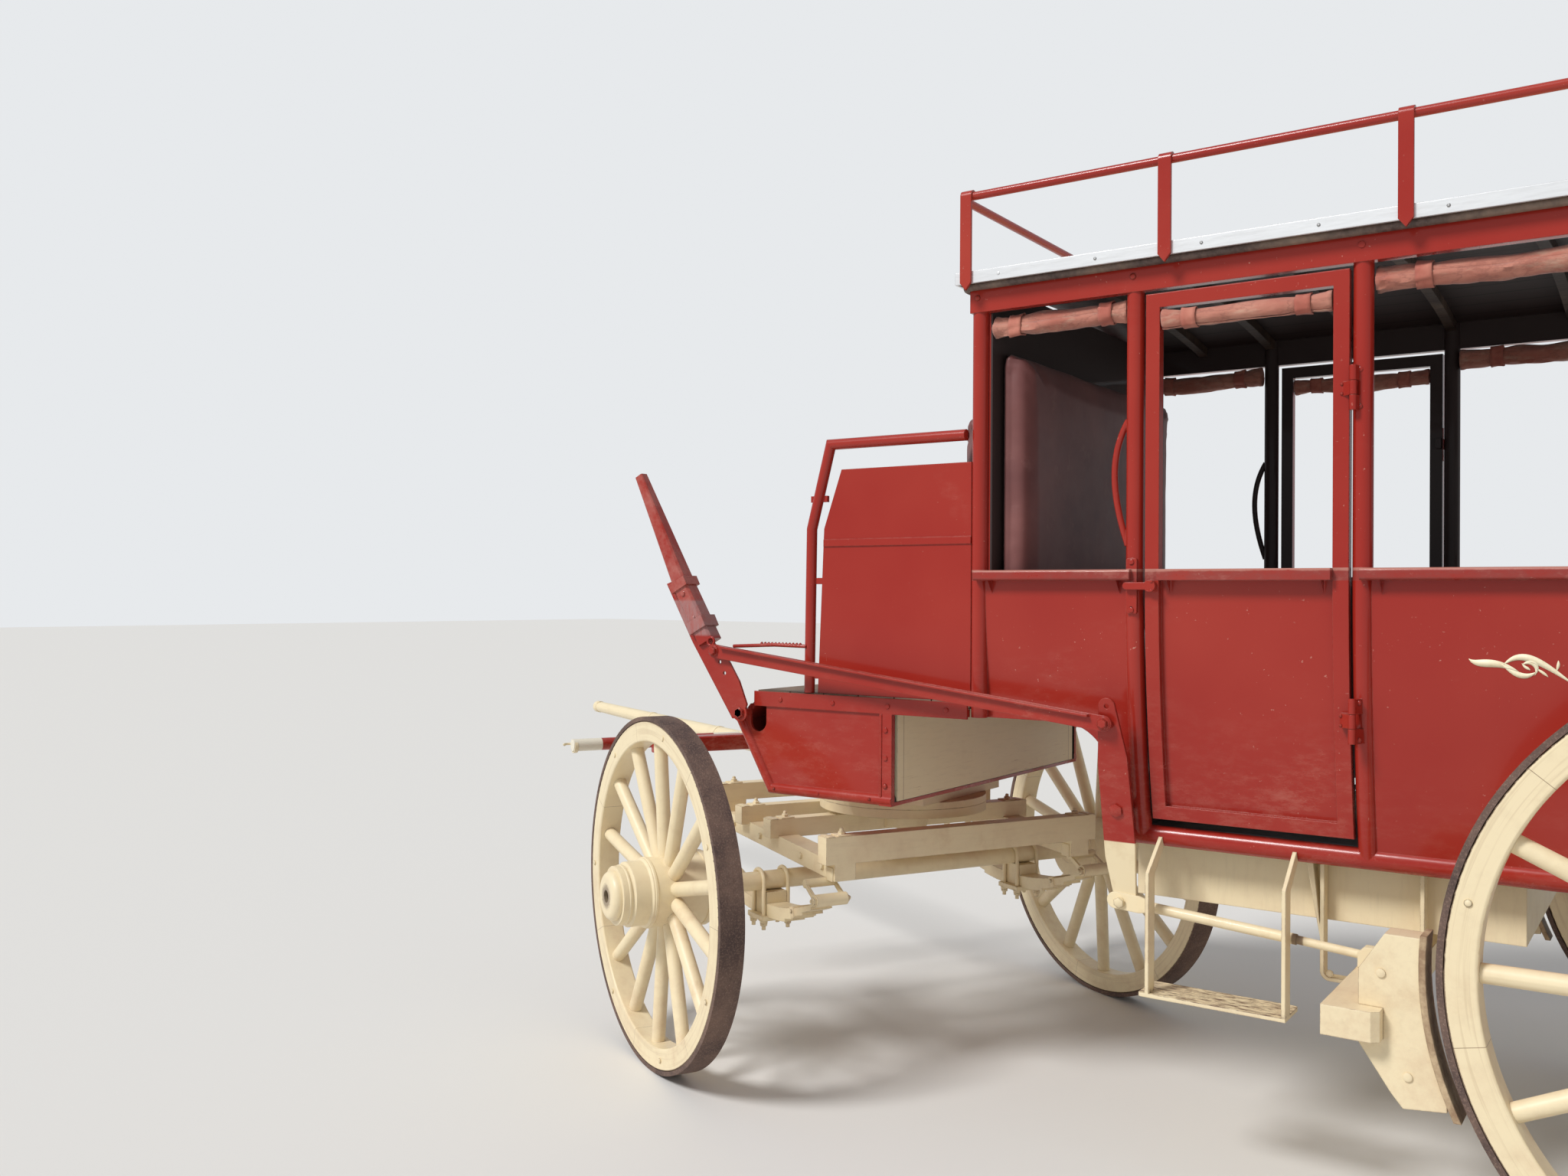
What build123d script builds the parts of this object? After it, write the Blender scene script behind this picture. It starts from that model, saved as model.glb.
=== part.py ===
from build123d import *
import os
from math import asin, cos, degrees, radians, sin, sqrt

# Stagecoach, in millimetres. X forward, Y left, Z up.
# The origin is on the ground under the middle of the rear axle.

# Wheels
WHEELBASE = 2655
REAR_RADIUS = 745
FRONT_RADIUS = 575
TRACK = 1890
TYRE_WIDTH = 80
TYRE_THICK = 14
TYRE_GAP = 0.3
FELLOE_DEPTH = 68
REAR_SPOKES = 14
FRONT_SPOKES = 14
REAR_FIRST_SPOKE = 0
FRONT_FIRST_SPOKE = 0.5
SPOKE_RADIUS = 24
SPOKE_TAPER = 0.2
WHEEL_DISH = 20
HUB_RADIUS = 113
HUB_OUTER = 185
HUB_INNER = 165
HUB_MOUTH_RADIUS = 58
HUB_MOUTH_DEPTH = 42
HUB_NOSE_RADIUS = 80
HUB_NOSE_LENGTH = 28
HUB_CAP_THICK = 12
HUB_CAP_HOLE = 20

# Steering
STEER_REST = 27.5
TURNTABLE_RADIUS = 300
TURNTABLE_WIDTH = 60
TURNTABLE_THICK = 24
TURNTABLE_GAP = 0.5
TURNTABLE_Z = 826
KINGPIN_RADIUS = 20

# Axles
ARM_RADIUS = 32
ARM_GAP = 0.5
HUB_GAP = 1
COLLAR_RADIUS = 55
COLLAR_WIDTH = 16
NUT_RADIUS = 46
NUT_THICK = 22

# Springs
FRONT_SPRING_Y = 533
REAR_SPRING_Y = 550
SPRING_REACH = 420
SPRING_SAG = 90
LEAF_THICK = 9
LEAF_WIDTH = 76
LEAF_COUNT = 5
LEAF_STEP = 62
SADDLE = 40
EYE_RADIUS = 20
BOLT_RADIUS = 7
BOLT_TAIL = 42
NUT_HEIGHT = 10
SHACKLE_LEAN = 70
PIVOT_RADIUS = 14
SHACKLE_OUT = 14

# Body
HALF_WIDTH = 698
BELT_Z = 1630
SILL_Z = 900
TUMBLE_IN = 83
POST_RADIUS = 24
SILL_RADIUS = 29
KINGPIN_TO_POST = 648
ARCH_LENGTH = 382
DOOR_SETBACK = 86
DOOR_PITCH = 580
BODY_REAR = 420
FASCIA_Z = 2383
ROOF_Z = 2470
WALL = 12
PANEL_SET_BACK = 14
FIT = 0.3
ARCH_Z = 1200
ARCH_RADIUS = 130
BELT_BOARD = 30
BELT_BOARD_OUT = 22
BELT_BOARD_IN = 58
FLOOR_THICK = 20
WELL_HALF_WIDTH = 500
WELL_Z = 712
WELL_SETBACK = 35
WELL_REAR = 620

# Roof
ROOF_OVERHANG = 37
ROOF_FRONT_OVERHANG = 43
ROOF_CROWN = 50
ROOF_THICK = 18
BAND_HEIGHT = 35
BAND_THICK = 8
RACK_Z = 2714
RACK_RADIUS = 12
RACK_COUNT = 5
RACK_LEAD = 14
RACK_TAIL = 101
RACK_BAR = 35
RACK_THICK = 8
RACK_FOOT = 2440
RACK_POINT = 22

# Doors
DOOR_GAP = 12
DOOR_THICK = 32
DOOR_FRAME = 38
DOOR_BOTTOM = 950
DOOR_TOP = 2371
HINGE_FORWARD = 16
HINGE_OUT = 14
HINGE_RADIUS = 9
PIN_RADIUS = 5
PIN_GAP = 0.3
HINGE_ZS = (2073, 1252)
HINGE_HEIGHT = 110

HANDLE_TOP = 2038
HANDLE_LOW = 1696
HANDLE_BULGE = 38
HANDLE_RADIUS = 9
LATCH_Z = 1585
LATCH_OUT = 20
KEEP_WIDTH = 30
KEEP_HEIGHT = 150
KEEP_THICK = 4

# Box and boot
BOX_LENGTH = 543
BOX_FLOOR = 1245
BOX_TOP = 1950
BOX_RAIL_Z = 2030
BOX_SHOULDER = 1765
BOOT_SETBACK = 278
BOOT_LOW_REACH = 738
BOOT_HIGH_REACH = 861
BOOT_HIGH_Z = 1150
BOOT_BOTTOM = 914
BOARD_REACH = 798
BOARD_THICK = 22
TUBE_RADIUS = 17

# Pole
POLE_ROOT = 360
POLE_TIP = 3350
POLE_Z = 895
POLE_RADIUS = 45
POLE_TIP_RADIUS = 30
POLE_PIN = 12

os.makedirs("parts", exist_ok=True)

REAR_Z = REAR_RADIUS
FRONT_Z = FRONT_RADIUS
HALF_TRACK = TRACK / 2
SIDES = (("left", 1), ("right", -1))
FRONT_POST = WHEELBASE - KINGPIN_TO_POST
ARCH_FOOT = FRONT_POST - ARCH_LENGTH
DOOR_FRONT_POST = ARCH_FOOT - DOOR_SETBACK
DOOR_REAR_POST = DOOR_FRONT_POST - DOOR_PITCH
REAR_POST = -BODY_REAR
MIDDLE_POST = (DOOR_REAR_POST + REAR_POST) / 2
HINGE_X = DOOR_REAR_POST + HINGE_FORWARD
HINGE_Y = HALF_WIDTH + HINGE_OUT
BOX_FRONT = FRONT_POST + BOX_LENGTH
BOOT_REAR = FRONT_POST + BOOT_SETBACK
BOOT_FRONT_LOW = FRONT_POST + BOOT_LOW_REACH
BOOT_FRONT_HIGH = FRONT_POST + BOOT_HIGH_REACH
BOARD_FRONT = FRONT_POST + BOARD_REACH
ROOF_FRONT = FRONT_POST + ROOF_FRONT_OVERHANG
RACK_FIRST = FRONT_POST + RACK_LEAD
WELL_FRONT = ARCH_FOOT - WELL_SETBACK
TUMBLE_DROP = BELT_Z - SILL_Z
TUMBLE_RADIUS = (TUMBLE_DROP**2 + TUMBLE_IN**2) / (2 * TUMBLE_IN)
CARRIAGE = Plane(
    origin=(WHEELBASE, 0, 0),
    x_dir=(cos(radians(STEER_REST)), -sin(radians(STEER_REST)), 0),
    z_dir=(0, 0, 1),
)


def turned(plane):
    """The same plane on the fore-carriage, turned with the steering."""
    return Plane(CARRIAGE.location * plane.location)


def side_plane(y):
    """An upright plane facing left at distance y, with X forward and Z up."""
    return Plane(origin=(0, y, 0), x_dir=(1, 0, 0), z_dir=(0, -1, 0))


def cross_plane(x):
    """An upright plane across the coach at x, with Y left and Z up."""
    return Plane(origin=(x, 0, 0), x_dir=(0, 1, 0), z_dir=(1, 0, 0))


def tumble(z):
    """How far the body side is drawn in at a height below the belt."""
    if z >= BELT_Z:
        return 0
    return TUMBLE_RADIUS - sqrt(TUMBLE_RADIUS**2 - (BELT_Z - z) ** 2)


def save(piece, name):
    piece.label = name
    export_step(piece, f"parts/{name}.step")


def mirrored(piece):
    with BuildPart() as other:
        mirror(piece, about=Plane.XZ)
    return other.part


# Wheels
# Each wheel is a turned hub, round spokes and a felloe ring, with a rubber tread on the ring.
# The first spoke stands a share of the spokes' pitch from the level.


def spoked_wheel(hub_plane, radius, spoke_count, first_spoke):
    axle = Axis(hub_plane.origin, hub_plane.z_dir)
    section = Plane(origin=hub_plane.origin, x_dir=hub_plane.z_dir, z_dir=hub_plane.x_dir)
    felloe_outer = radius - TYRE_THICK - TYRE_GAP
    felloe_inner = felloe_outer - FELLOE_DEPTH
    bore = ARM_RADIUS + ARM_GAP
    with BuildPart() as wheel:
        with BuildSketch(section):
            with Locations((0, (felloe_outer + felloe_inner) / 2)):
                RectangleRounded(TYRE_WIDTH, FELLOE_DEPTH, 6)
        revolve(axis=axle)
        with BuildSketch(section):
            with BuildLine():
                Polyline(
                    (-HUB_INNER, bore),
                    (-HUB_INNER, HUB_RADIUS + 5),
                    (-HUB_INNER + 15, HUB_RADIUS + 9),
                    (-60, HUB_RADIUS),
                    (60, HUB_RADIUS),
                    (66, HUB_RADIUS - 8),
                    (118, HUB_RADIUS - 8),
                    (124, HUB_RADIUS - 18),
                    (HUB_OUTER - HUB_NOSE_LENGTH, HUB_RADIUS - 18),
                    (HUB_OUTER - HUB_NOSE_LENGTH, HUB_NOSE_RADIUS),
                    (HUB_OUTER, HUB_NOSE_RADIUS),
                    (HUB_OUTER, HUB_CAP_HOLE),
                    (HUB_OUTER - HUB_CAP_THICK, HUB_CAP_HOLE),
                    (HUB_OUTER - HUB_CAP_THICK, HUB_MOUTH_RADIUS),
                    (HUB_OUTER - HUB_MOUTH_DEPTH, HUB_MOUTH_RADIUS),
                    (HUB_OUTER - HUB_MOUTH_DEPTH, bore),
                    close=True,
                )
            make_face()
            fillet(vertices().sort_by_distance((HUB_OUTER, HUB_NOSE_RADIUS))[0], radius=HUB_NOSE_LENGTH - 6)
        revolve(axis=axle)
        for i in range(spoke_count):
            turn = radians(360 * (i + first_spoke) / spoke_count)
            out = hub_plane.x_dir * cos(turn) + hub_plane.y_dir * sin(turn)
            foot = hub_plane.origin + out * (HUB_RADIUS - 12) - hub_plane.z_dir * WHEEL_DISH
            head = hub_plane.origin + out * (felloe_inner + 8)
            with BuildSketch(Plane(origin=foot, z_dir=head - foot)):
                Circle(SPOKE_RADIUS)
            extrude(amount=(head - foot).length, taper=SPOKE_TAPER)
    return wheel.part


def wheel_tyre(hub_plane, radius):
    axle = Axis(hub_plane.origin, hub_plane.z_dir)
    section = Plane(origin=hub_plane.origin, x_dir=hub_plane.z_dir, z_dir=hub_plane.x_dir)
    with BuildPart() as tyre:
        with BuildSketch(section):
            with Locations((0, radius - TYRE_THICK / 2)):
                Rectangle(TYRE_WIDTH, TYRE_THICK)
        revolve(axis=axle)
    return tyre.part


for end, radius, spokes, first_spoke in (
    ("front", FRONT_RADIUS, FRONT_SPOKES, FRONT_FIRST_SPOKE),
    ("rear", REAR_RADIUS, REAR_SPOKES, REAR_FIRST_SPOKE),
):
    for side, sign in SIDES:
        hub_plane = Plane(origin=(0, sign * HALF_TRACK, radius), x_dir=(1, 0, 0), z_dir=(0, sign, 0))
        if end == "front":
            hub_plane = turned(hub_plane)
        save(spoked_wheel(hub_plane, radius, spokes, first_spoke), f"wheel_{end}_{side}")
        save(wheel_tyre(hub_plane, radius), f"tyre_{end}_{side}")

# Axles
# A round tube with a collar and a turned arm at each end, and a nut inside each hub's mouth.


def axle_beam(place, height):
    arm_end = HALF_TRACK + HUB_OUTER - HUB_MOUTH_DEPTH + HUB_GAP + NUT_THICK
    collar_face = HALF_TRACK - HUB_INNER - HUB_GAP
    nut_face = HALF_TRACK + HUB_OUTER - HUB_MOUTH_DEPTH + HUB_GAP
    with BuildPart() as axle:
        with BuildSketch(place(side_plane(0))):
            with Locations((0, height)):
                Circle(ARM_RADIUS)
        extrude(amount=arm_end, both=True)
        for side, sign in SIDES:
            with BuildSketch(place(side_plane(sign * (collar_face - COLLAR_WIDTH / 2)))):
                with Locations((0, height)):
                    Circle(COLLAR_RADIUS)
            extrude(amount=COLLAR_WIDTH / 2, both=True)
            with BuildSketch(place(side_plane(sign * (nut_face + NUT_THICK / 2)))):
                with Locations((0, height)):
                    RegularPolygon(NUT_RADIUS, 6)
            extrude(amount=NUT_THICK / 2, both=True)
    return axle.part


def as_drawn(plane):
    return plane


save(axle_beam(turned, FRONT_Z), "front_axle")
save(axle_beam(as_drawn, REAR_Z), "rear_axle")

# Springs
# Underslung leaf packs, clamped below the axle by a saddle and U-bolts, with a shackle behind.

LEAF_RADIUS = (SPRING_REACH**2 + SPRING_SAG**2) / (2 * SPRING_SAG)
BOLT_OFF = LEAF_WIDTH / 2 + BOLT_RADIUS + 1
SHACKLE_OFF = LEAF_WIDTH / 2 + SHACKLE_OUT


def leaf_springs(place, height, spring_y, hanger_tops):
    top = height - ARM_RADIUS - SADDLE
    centre = top + LEAF_RADIUS
    bottom = top - LEAF_COUNT * LEAF_THICK
    eye_z = top + SPRING_SAG
    with BuildPart() as springs:
        for side, sign in SIDES:
            middle = sign * spring_y
            with BuildSketch(place(side_plane(middle))):
                for i in range(LEAF_COUNT):
                    inner = LEAF_RADIUS + i * LEAF_THICK
                    half = degrees(asin((SPRING_REACH - i * LEAF_STEP) / LEAF_RADIUS))
                    with BuildLine():
                        low = CenterArc((0, centre), inner + LEAF_THICK, 270 - half, 2 * half)
                        high = CenterArc((0, centre), inner, 270 - half, 2 * half)
                        Line(low @ 0, high @ 0)
                        Line(low @ 1, high @ 1)
                    make_face()
                with Locations((0, top + (SADDLE - ARM_GAP - LEAF_THICK) / 2)):
                    Rectangle(90, SADDLE - ARM_GAP + LEAF_THICK)
            extrude(amount=LEAF_WIDTH / 2, both=True)
            with BuildSketch(place(side_plane(middle))):
                with Locations((-SPRING_REACH, eye_z), (SPRING_REACH, eye_z)):
                    Circle(EYE_RADIUS)
            extrude(amount=SHACKLE_OFF + 4, both=True)
            with BuildSketch(place(side_plane(middle))):
                with Locations((0, bottom - 2)):
                    Rectangle(2 * (ARM_RADIUS + BOLT_RADIUS) + 36, 16)
            extrude(amount=LEAF_WIDTH / 2 + 2 * BOLT_RADIUS + 8, both=True)
            for bolt_y in (middle - BOLT_OFF, middle + BOLT_OFF):
                reach = ARM_RADIUS + BOLT_RADIUS + FIT
                with BuildLine(place(side_plane(bolt_y))) as bolt_line:
                    Line((-reach, bottom - BOLT_TAIL), (-reach, height))
                    ThreePointArc((-reach, height), (0, height + reach), (reach, height))
                    Line((reach, height), (reach, bottom - BOLT_TAIL))
                with BuildSketch(Plane(origin=bolt_line.line @ 0, z_dir=bolt_line.line % 0)):
                    Circle(BOLT_RADIUS)
                sweep(path=bolt_line.line)
                with BuildSketch(place(Plane.XY.offset(bottom - 10 - NUT_HEIGHT))):
                    with Locations((-reach, bolt_y), (reach, bolt_y)):
                        RegularPolygon(1.9 * BOLT_RADIUS, 6)
                extrude(amount=NUT_HEIGHT)
            for x, (hanger_x, hanger_top) in zip((-SPRING_REACH, SPRING_REACH), hanger_tops):
                for plate_y in (middle - SHACKLE_OFF, middle + SHACKLE_OFF):
                    with BuildSketch(place(side_plane(plate_y))):
                        with BuildLine():
                            Polyline(
                                (x - EYE_RADIUS + 3, eye_z),
                                (x + EYE_RADIUS - 3, eye_z),
                                (hanger_x + PIVOT_RADIUS - 2, hanger_top - PIVOT_RADIUS),
                                (hanger_x - PIVOT_RADIUS + 2, hanger_top - PIVOT_RADIUS),
                                close=True,
                            )
                        make_face()
                        with Locations((x, eye_z)):
                            Circle(EYE_RADIUS - 3)
                    extrude(amount=4, both=True)
                with BuildSketch(place(side_plane(middle))):
                    with Locations((hanger_x, hanger_top - PIVOT_RADIUS)):
                        Circle(PIVOT_RADIUS)
                extrude(amount=SHACKLE_OFF + 4, both=True)
    return springs.part


# Fore-carriage
# Two sloping hounds carry three timber cross bars, the centre plate and the front beam.

HOUND_FRONT_Z = 750
HOUND_REAR_Z = 705
HOUND_DEPTH = 60
HOUND_FRONT = 460
HOUND_WIDTH = 76
HOUND_Y = 475
BAR_HEIGHT = 56
BAR_DEPTH = 56
BAR_HALF = 545
BAR_XS = (240, 10)
REAR_BEAM_X = -385
HOUND_REAR = REAR_BEAM_X - BAR_DEPTH / 2
REAR_BEAM_HEIGHT = 80
FRONT_BEAM_X = 430
FRONT_BEAM_TOP = 850
FRONT_BEAM_HEIGHT = 62


def hound_top(x):
    return HOUND_REAR_Z + (HOUND_FRONT_Z - HOUND_REAR_Z) * (x - HOUND_REAR) / (HOUND_FRONT - HOUND_REAR)


front_hangers = [
    (x, hound_top(x) - HOUND_DEPTH - FIT) for x in (SHACKLE_LEAN - SPRING_REACH, SPRING_REACH)
]
save(leaf_springs(turned, FRONT_Z, FRONT_SPRING_Y, front_hangers), "front_springs")
rear_hangers = [(x, SILL_Z - SILL_RADIUS - FIT) for x in (-SPRING_REACH + SHACKLE_LEAN, SPRING_REACH)]
save(leaf_springs(as_drawn, REAR_Z, REAR_SPRING_Y, rear_hangers), "rear_springs")

with BuildPart() as fore_frame:
    for side, sign in SIDES:
        with BuildSketch(turned(side_plane(sign * HOUND_Y))):
            with BuildLine():
                Polyline(
                    (HOUND_REAR, HOUND_REAR_Z),
                    (HOUND_FRONT, HOUND_FRONT_Z),
                    (HOUND_FRONT, HOUND_FRONT_Z - HOUND_DEPTH),
                    (HOUND_REAR, HOUND_REAR_Z - HOUND_DEPTH),
                    close=True,
                )
            make_face()
            with Locations((FRONT_BEAM_X, (FRONT_BEAM_TOP + HOUND_FRONT_Z) / 2 - 20)):
                Rectangle(BAR_DEPTH, FRONT_BEAM_TOP - HOUND_FRONT_Z + 40)
        extrude(amount=HOUND_WIDTH / 2, both=True)
    for x in BAR_XS:
        with BuildSketch(turned(side_plane(0))):
            with Locations((x, hound_top(x) + BAR_HEIGHT / 2 - 4)):
                Rectangle(BAR_DEPTH, BAR_HEIGHT + 8)
        extrude(amount=BAR_HALF, both=True)
    with BuildSketch(turned(side_plane(0))):
        with Locations((REAR_BEAM_X, hound_top(REAR_BEAM_X) + REAR_BEAM_HEIGHT / 2 - 4)):
            Rectangle(BAR_DEPTH, REAR_BEAM_HEIGHT + 8)
    extrude(amount=BAR_HALF, both=True)
    with BuildSketch(turned(side_plane(0))):
        with Locations((FRONT_BEAM_X, FRONT_BEAM_TOP - FRONT_BEAM_HEIGHT / 2)):
            Rectangle(BAR_DEPTH, FRONT_BEAM_HEIGHT)
    extrude(amount=BAR_HALF, both=True)
    with BuildSketch(turned(Plane.XY.offset(hound_top(10)))):
        Circle(90)
    extrude(amount=BAR_HEIGHT)
    with BuildSketch(turned(Plane.XY.offset(HOUND_REAR_Z))):
        Circle(KINGPIN_RADIUS + PIN_GAP)
    extrude(amount=200, mode=Mode.SUBTRACT)
save(fore_frame.part, "fore_frame")

with BuildPart() as turntable_lower:
    with BuildSketch(turned(Plane.XY.offset(hound_top(240) + BAR_HEIGHT))):
        Circle(TURNTABLE_RADIUS)
        Circle(TURNTABLE_RADIUS - TURNTABLE_WIDTH, mode=Mode.SUBTRACT)
    extrude(amount=TURNTABLE_Z - TURNTABLE_GAP - hound_top(240) - BAR_HEIGHT)
save(turntable_lower.part, "turntable_lower")

# Turntable
# The fixed ring hangs under the boot on two bolsters, with the kingpin at its middle.

BOLSTER_XS = (-210, 0, 60)
with BuildPart() as turntable_upper:
    with BuildSketch(Plane.XY.offset(TURNTABLE_Z)):
        with Locations((WHEELBASE, 0)):
            Circle(TURNTABLE_RADIUS)
            Circle(TURNTABLE_RADIUS - TURNTABLE_WIDTH, mode=Mode.SUBTRACT)
    extrude(amount=TURNTABLE_THICK)
    for x in BOLSTER_XS:
        with BuildSketch(Plane.XY.offset(TURNTABLE_Z + TURNTABLE_THICK)):
            with Locations((WHEELBASE + x, 0)):
                Rectangle(70, 2 * TURNTABLE_RADIUS - 30)
        extrude(amount=BOOT_BOTTOM - TURNTABLE_Z - TURNTABLE_THICK)
    with BuildSketch(Plane.XY.offset(HOUND_REAR_Z - 20)):
        with Locations((WHEELBASE, 0)):
            Circle(KINGPIN_RADIUS)
    extrude(until=Until.NEXT)
save(turntable_upper.part, "turntable_upper")

# Pole
# A tapered draught pole with a splinter bar across it and two swingletrees.

POLE_SLOPE = (POLE_RADIUS - POLE_TIP_RADIUS) / (POLE_TIP - POLE_ROOT)
with BuildPart() as pole:
    with BuildSketch(turned(cross_plane(POLE_ROOT))):
        with Locations((0, POLE_Z)):
            Circle(POLE_RADIUS)
    extrude(amount=POLE_TIP - POLE_ROOT, taper=degrees(POLE_SLOPE))
    with BuildSketch(turned(Plane.XY.offset(POLE_Z - 60))):
        with Locations((POLE_TIP - 60, 0)):
            Circle(POLE_PIN)
    extrude(amount=120, mode=Mode.SUBTRACT)
save(pole.part, "pole")

SPLINTER_X = 720
SPLINTER_HALF = 680
SPLINTER_SIZE = (70, 60)
SPLINTER_Z = POLE_Z + POLE_RADIUS - POLE_SLOPE * (SPLINTER_X - POLE_ROOT) + SPLINTER_SIZE[1] / 2 + FIT
with BuildPart() as splinter_bar:
    with BuildSketch(turned(side_plane(0))):
        with Locations((SPLINTER_X, SPLINTER_Z)):
            RectangleRounded(*SPLINTER_SIZE, 8)
    extrude(amount=SPLINTER_HALF, both=True)
save(splinter_bar.part, "splinter_bar")

SWINGLE_X = 850
SWINGLE_Y = 615
SWINGLE_HALF = 355
SWINGLE_RADIUS = 24
with BuildPart() as swingletrees:
    for side, sign in SIDES:
        with BuildSketch(turned(side_plane(sign * SWINGLE_Y))):
            with Locations((SWINGLE_X, SPLINTER_Z)):
                Circle(SWINGLE_RADIUS)
        extrude(amount=SWINGLE_HALF, both=True)
        with BuildSketch(turned(side_plane(sign * SWINGLE_Y))):
            with Locations(((SWINGLE_X + SPLINTER_X + SPLINTER_SIZE[0] / 2 + FIT) / 2, SPLINTER_Z)):
                Rectangle(SWINGLE_X - SPLINTER_X - SPLINTER_SIZE[0] / 2 - FIT, 12)
        extrude(amount=22, both=True)
save(swingletrees.part, "swingletrees")

# Body side
# Round posts follow the tumblehome down to a round sill tube, with sheet panels set back.

POST_XS = (DOOR_FRONT_POST, DOOR_REAR_POST, MIDDLE_POST, REAR_POST)
POST_Y = HALF_WIDTH - POST_RADIUS
SILL_Y = HALF_WIDTH - TUMBLE_IN - SILL_RADIUS
FASCIA_THICK = 32
FASCIA_IN = HALF_WIDTH + 2 - FASCIA_THICK


def skin(outer, thick, low, high):
    """Face of a sheet that follows the body side, from a low to a high level."""
    outer_arc = ThreePointArc(
        (outer - tumble(low), low),
        (outer - tumble((low + BELT_Z) / 2), (low + BELT_Z) / 2),
        (outer, BELT_Z),
    )
    inner_arc = ThreePointArc(
        (outer - thick - tumble(low), low),
        (outer - thick - tumble((low + BELT_Z) / 2), (low + BELT_Z) / 2),
        (outer - thick, BELT_Z),
    )
    Line(outer_arc @ 0, inner_arc @ 0)
    if high > BELT_Z:
        Polyline(outer_arc @ 1, (outer, high), (outer - thick, high), inner_arc @ 1)
    else:
        Line(outer_arc @ 1, inner_arc @ 1)


with BuildPart() as body_side_left:
    for x in POST_XS:
        with BuildLine(cross_plane(x)) as post_line:
            Line((POST_Y, ROOF_Z), (POST_Y, BELT_Z))
            ThreePointArc(
                (POST_Y, BELT_Z),
                (POST_Y - tumble((BELT_Z + SILL_Z) / 2), (BELT_Z + SILL_Z) / 2),
                (POST_Y - tumble(SILL_Z), SILL_Z),
            )
        with BuildSketch(Plane(origin=(x, POST_Y, ROOF_Z), z_dir=(0, 0, -1))):
            Circle(POST_RADIUS)
        sweep(path=post_line.line)
    with BuildSketch(Plane.XY.offset(ARCH_Z)):
        with Locations((FRONT_POST, POST_Y)):
            Circle(POST_RADIUS)
    extrude(amount=ROOF_Z - ARCH_Z)
    with BuildSketch(cross_plane(REAR_POST)):
        with Locations((SILL_Y, SILL_Z)):
            Circle(SILL_RADIUS)
    extrude(amount=ARCH_FOOT - REAR_POST)
    for rear, front in ((REAR_POST, DOOR_REAR_POST), (DOOR_FRONT_POST, FRONT_POST)):
        with BuildSketch(cross_plane(rear)):
            with BuildLine():
                skin(HALF_WIDTH - PANEL_SET_BACK, WALL, SILL_Z, BELT_Z)
            make_face()
        extrude(amount=front - rear)
        with BuildSketch(cross_plane(rear)):
            with Locations((HALF_WIDTH + (BELT_BOARD_OUT - BELT_BOARD_IN) / 2, BELT_Z - BELT_BOARD / 2)):
                RectangleRounded(BELT_BOARD_OUT + BELT_BOARD_IN, BELT_BOARD, 8)
        extrude(amount=front - rear)
    with BuildSketch(side_plane(0)):
        with Locations((ARCH_FOOT, SILL_Z - SILL_RADIUS - 5)):
            Rectangle(
                ARCH_LENGTH + POST_RADIUS + 5, ARCH_Z - SILL_Z + SILL_RADIUS + 5,
                align=(Align.MIN, Align.MIN),
            )
        fillet(vertices().sort_by_distance((ARCH_FOOT, ARCH_Z))[0], radius=ARCH_RADIUS)
    extrude(amount=-HALF_WIDTH - 50, mode=Mode.SUBTRACT)
    with BuildSketch(Plane.XY.offset(FASCIA_Z)):
        with Locations(((FRONT_POST + REAR_POST) / 2, HALF_WIDTH + 2 - FASCIA_THICK / 2)):
            Rectangle(FRONT_POST - REAR_POST + 2 * POST_RADIUS, FASCIA_THICK)
    extrude(amount=ROOF_Z - FASCIA_Z)
    handle_x = DOOR_FRONT_POST + POST_RADIUS - 4
    with BuildLine(side_plane(POST_Y)) as handle_line:
        Spline(
            (handle_x, HANDLE_TOP),
            (handle_x + HANDLE_BULGE, HANDLE_TOP - 130),
            (handle_x + HANDLE_BULGE - 8, HANDLE_LOW + 110),
            (handle_x, HANDLE_LOW),
        )
    with BuildSketch(Plane(origin=handle_line.line @ 0, z_dir=handle_line.line % 0)):
        Circle(HANDLE_RADIUS)
    sweep(path=handle_line.line)
    with BuildSketch(side_plane(HALF_WIDTH - POST_RADIUS / 2)):
        with Locations((DOOR_FRONT_POST, LATCH_Z)):
            RectangleRounded(KEEP_WIDTH, KEEP_HEIGHT, 6)
            with GridLocations(0, KEEP_HEIGHT - 30, 1, 2):
                Circle(4, mode=Mode.SUBTRACT)
    extrude(amount=-POST_RADIUS / 2 - KEEP_THICK)
    for z in HINGE_ZS:
        with BuildSketch(Plane.XY.offset(z - HINGE_HEIGHT / 2)):
            with Locations((HINGE_X, HINGE_Y)):
                Circle(PIN_RADIUS)
        extrude(amount=HINGE_HEIGHT)
        for low in (z - HINGE_HEIGHT / 2, z + HINGE_HEIGHT / 6):
            with BuildSketch(Plane.XY.offset(low)):
                with Locations((HINGE_X, HINGE_Y)):
                    Circle(HINGE_RADIUS)
                with BuildLine():
                    Polyline(
                        (HINGE_X - 6, HINGE_Y + 6),
                        (HINGE_X + 2, HINGE_Y - 8),
                        (DOOR_REAR_POST + 4, HALF_WIDTH - 40),
                        (DOOR_REAR_POST - 8, HALF_WIDTH - 40),
                        close=True,
                    )
                make_face()
            extrude(amount=HINGE_HEIGHT / 3)
save(body_side_left.part, "body_side_left")
save(mirrored(body_side_left.part), "body_side_right")

# Doors
# A tube frame with a sheet panel set back in it, an open window and a belt board.

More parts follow.
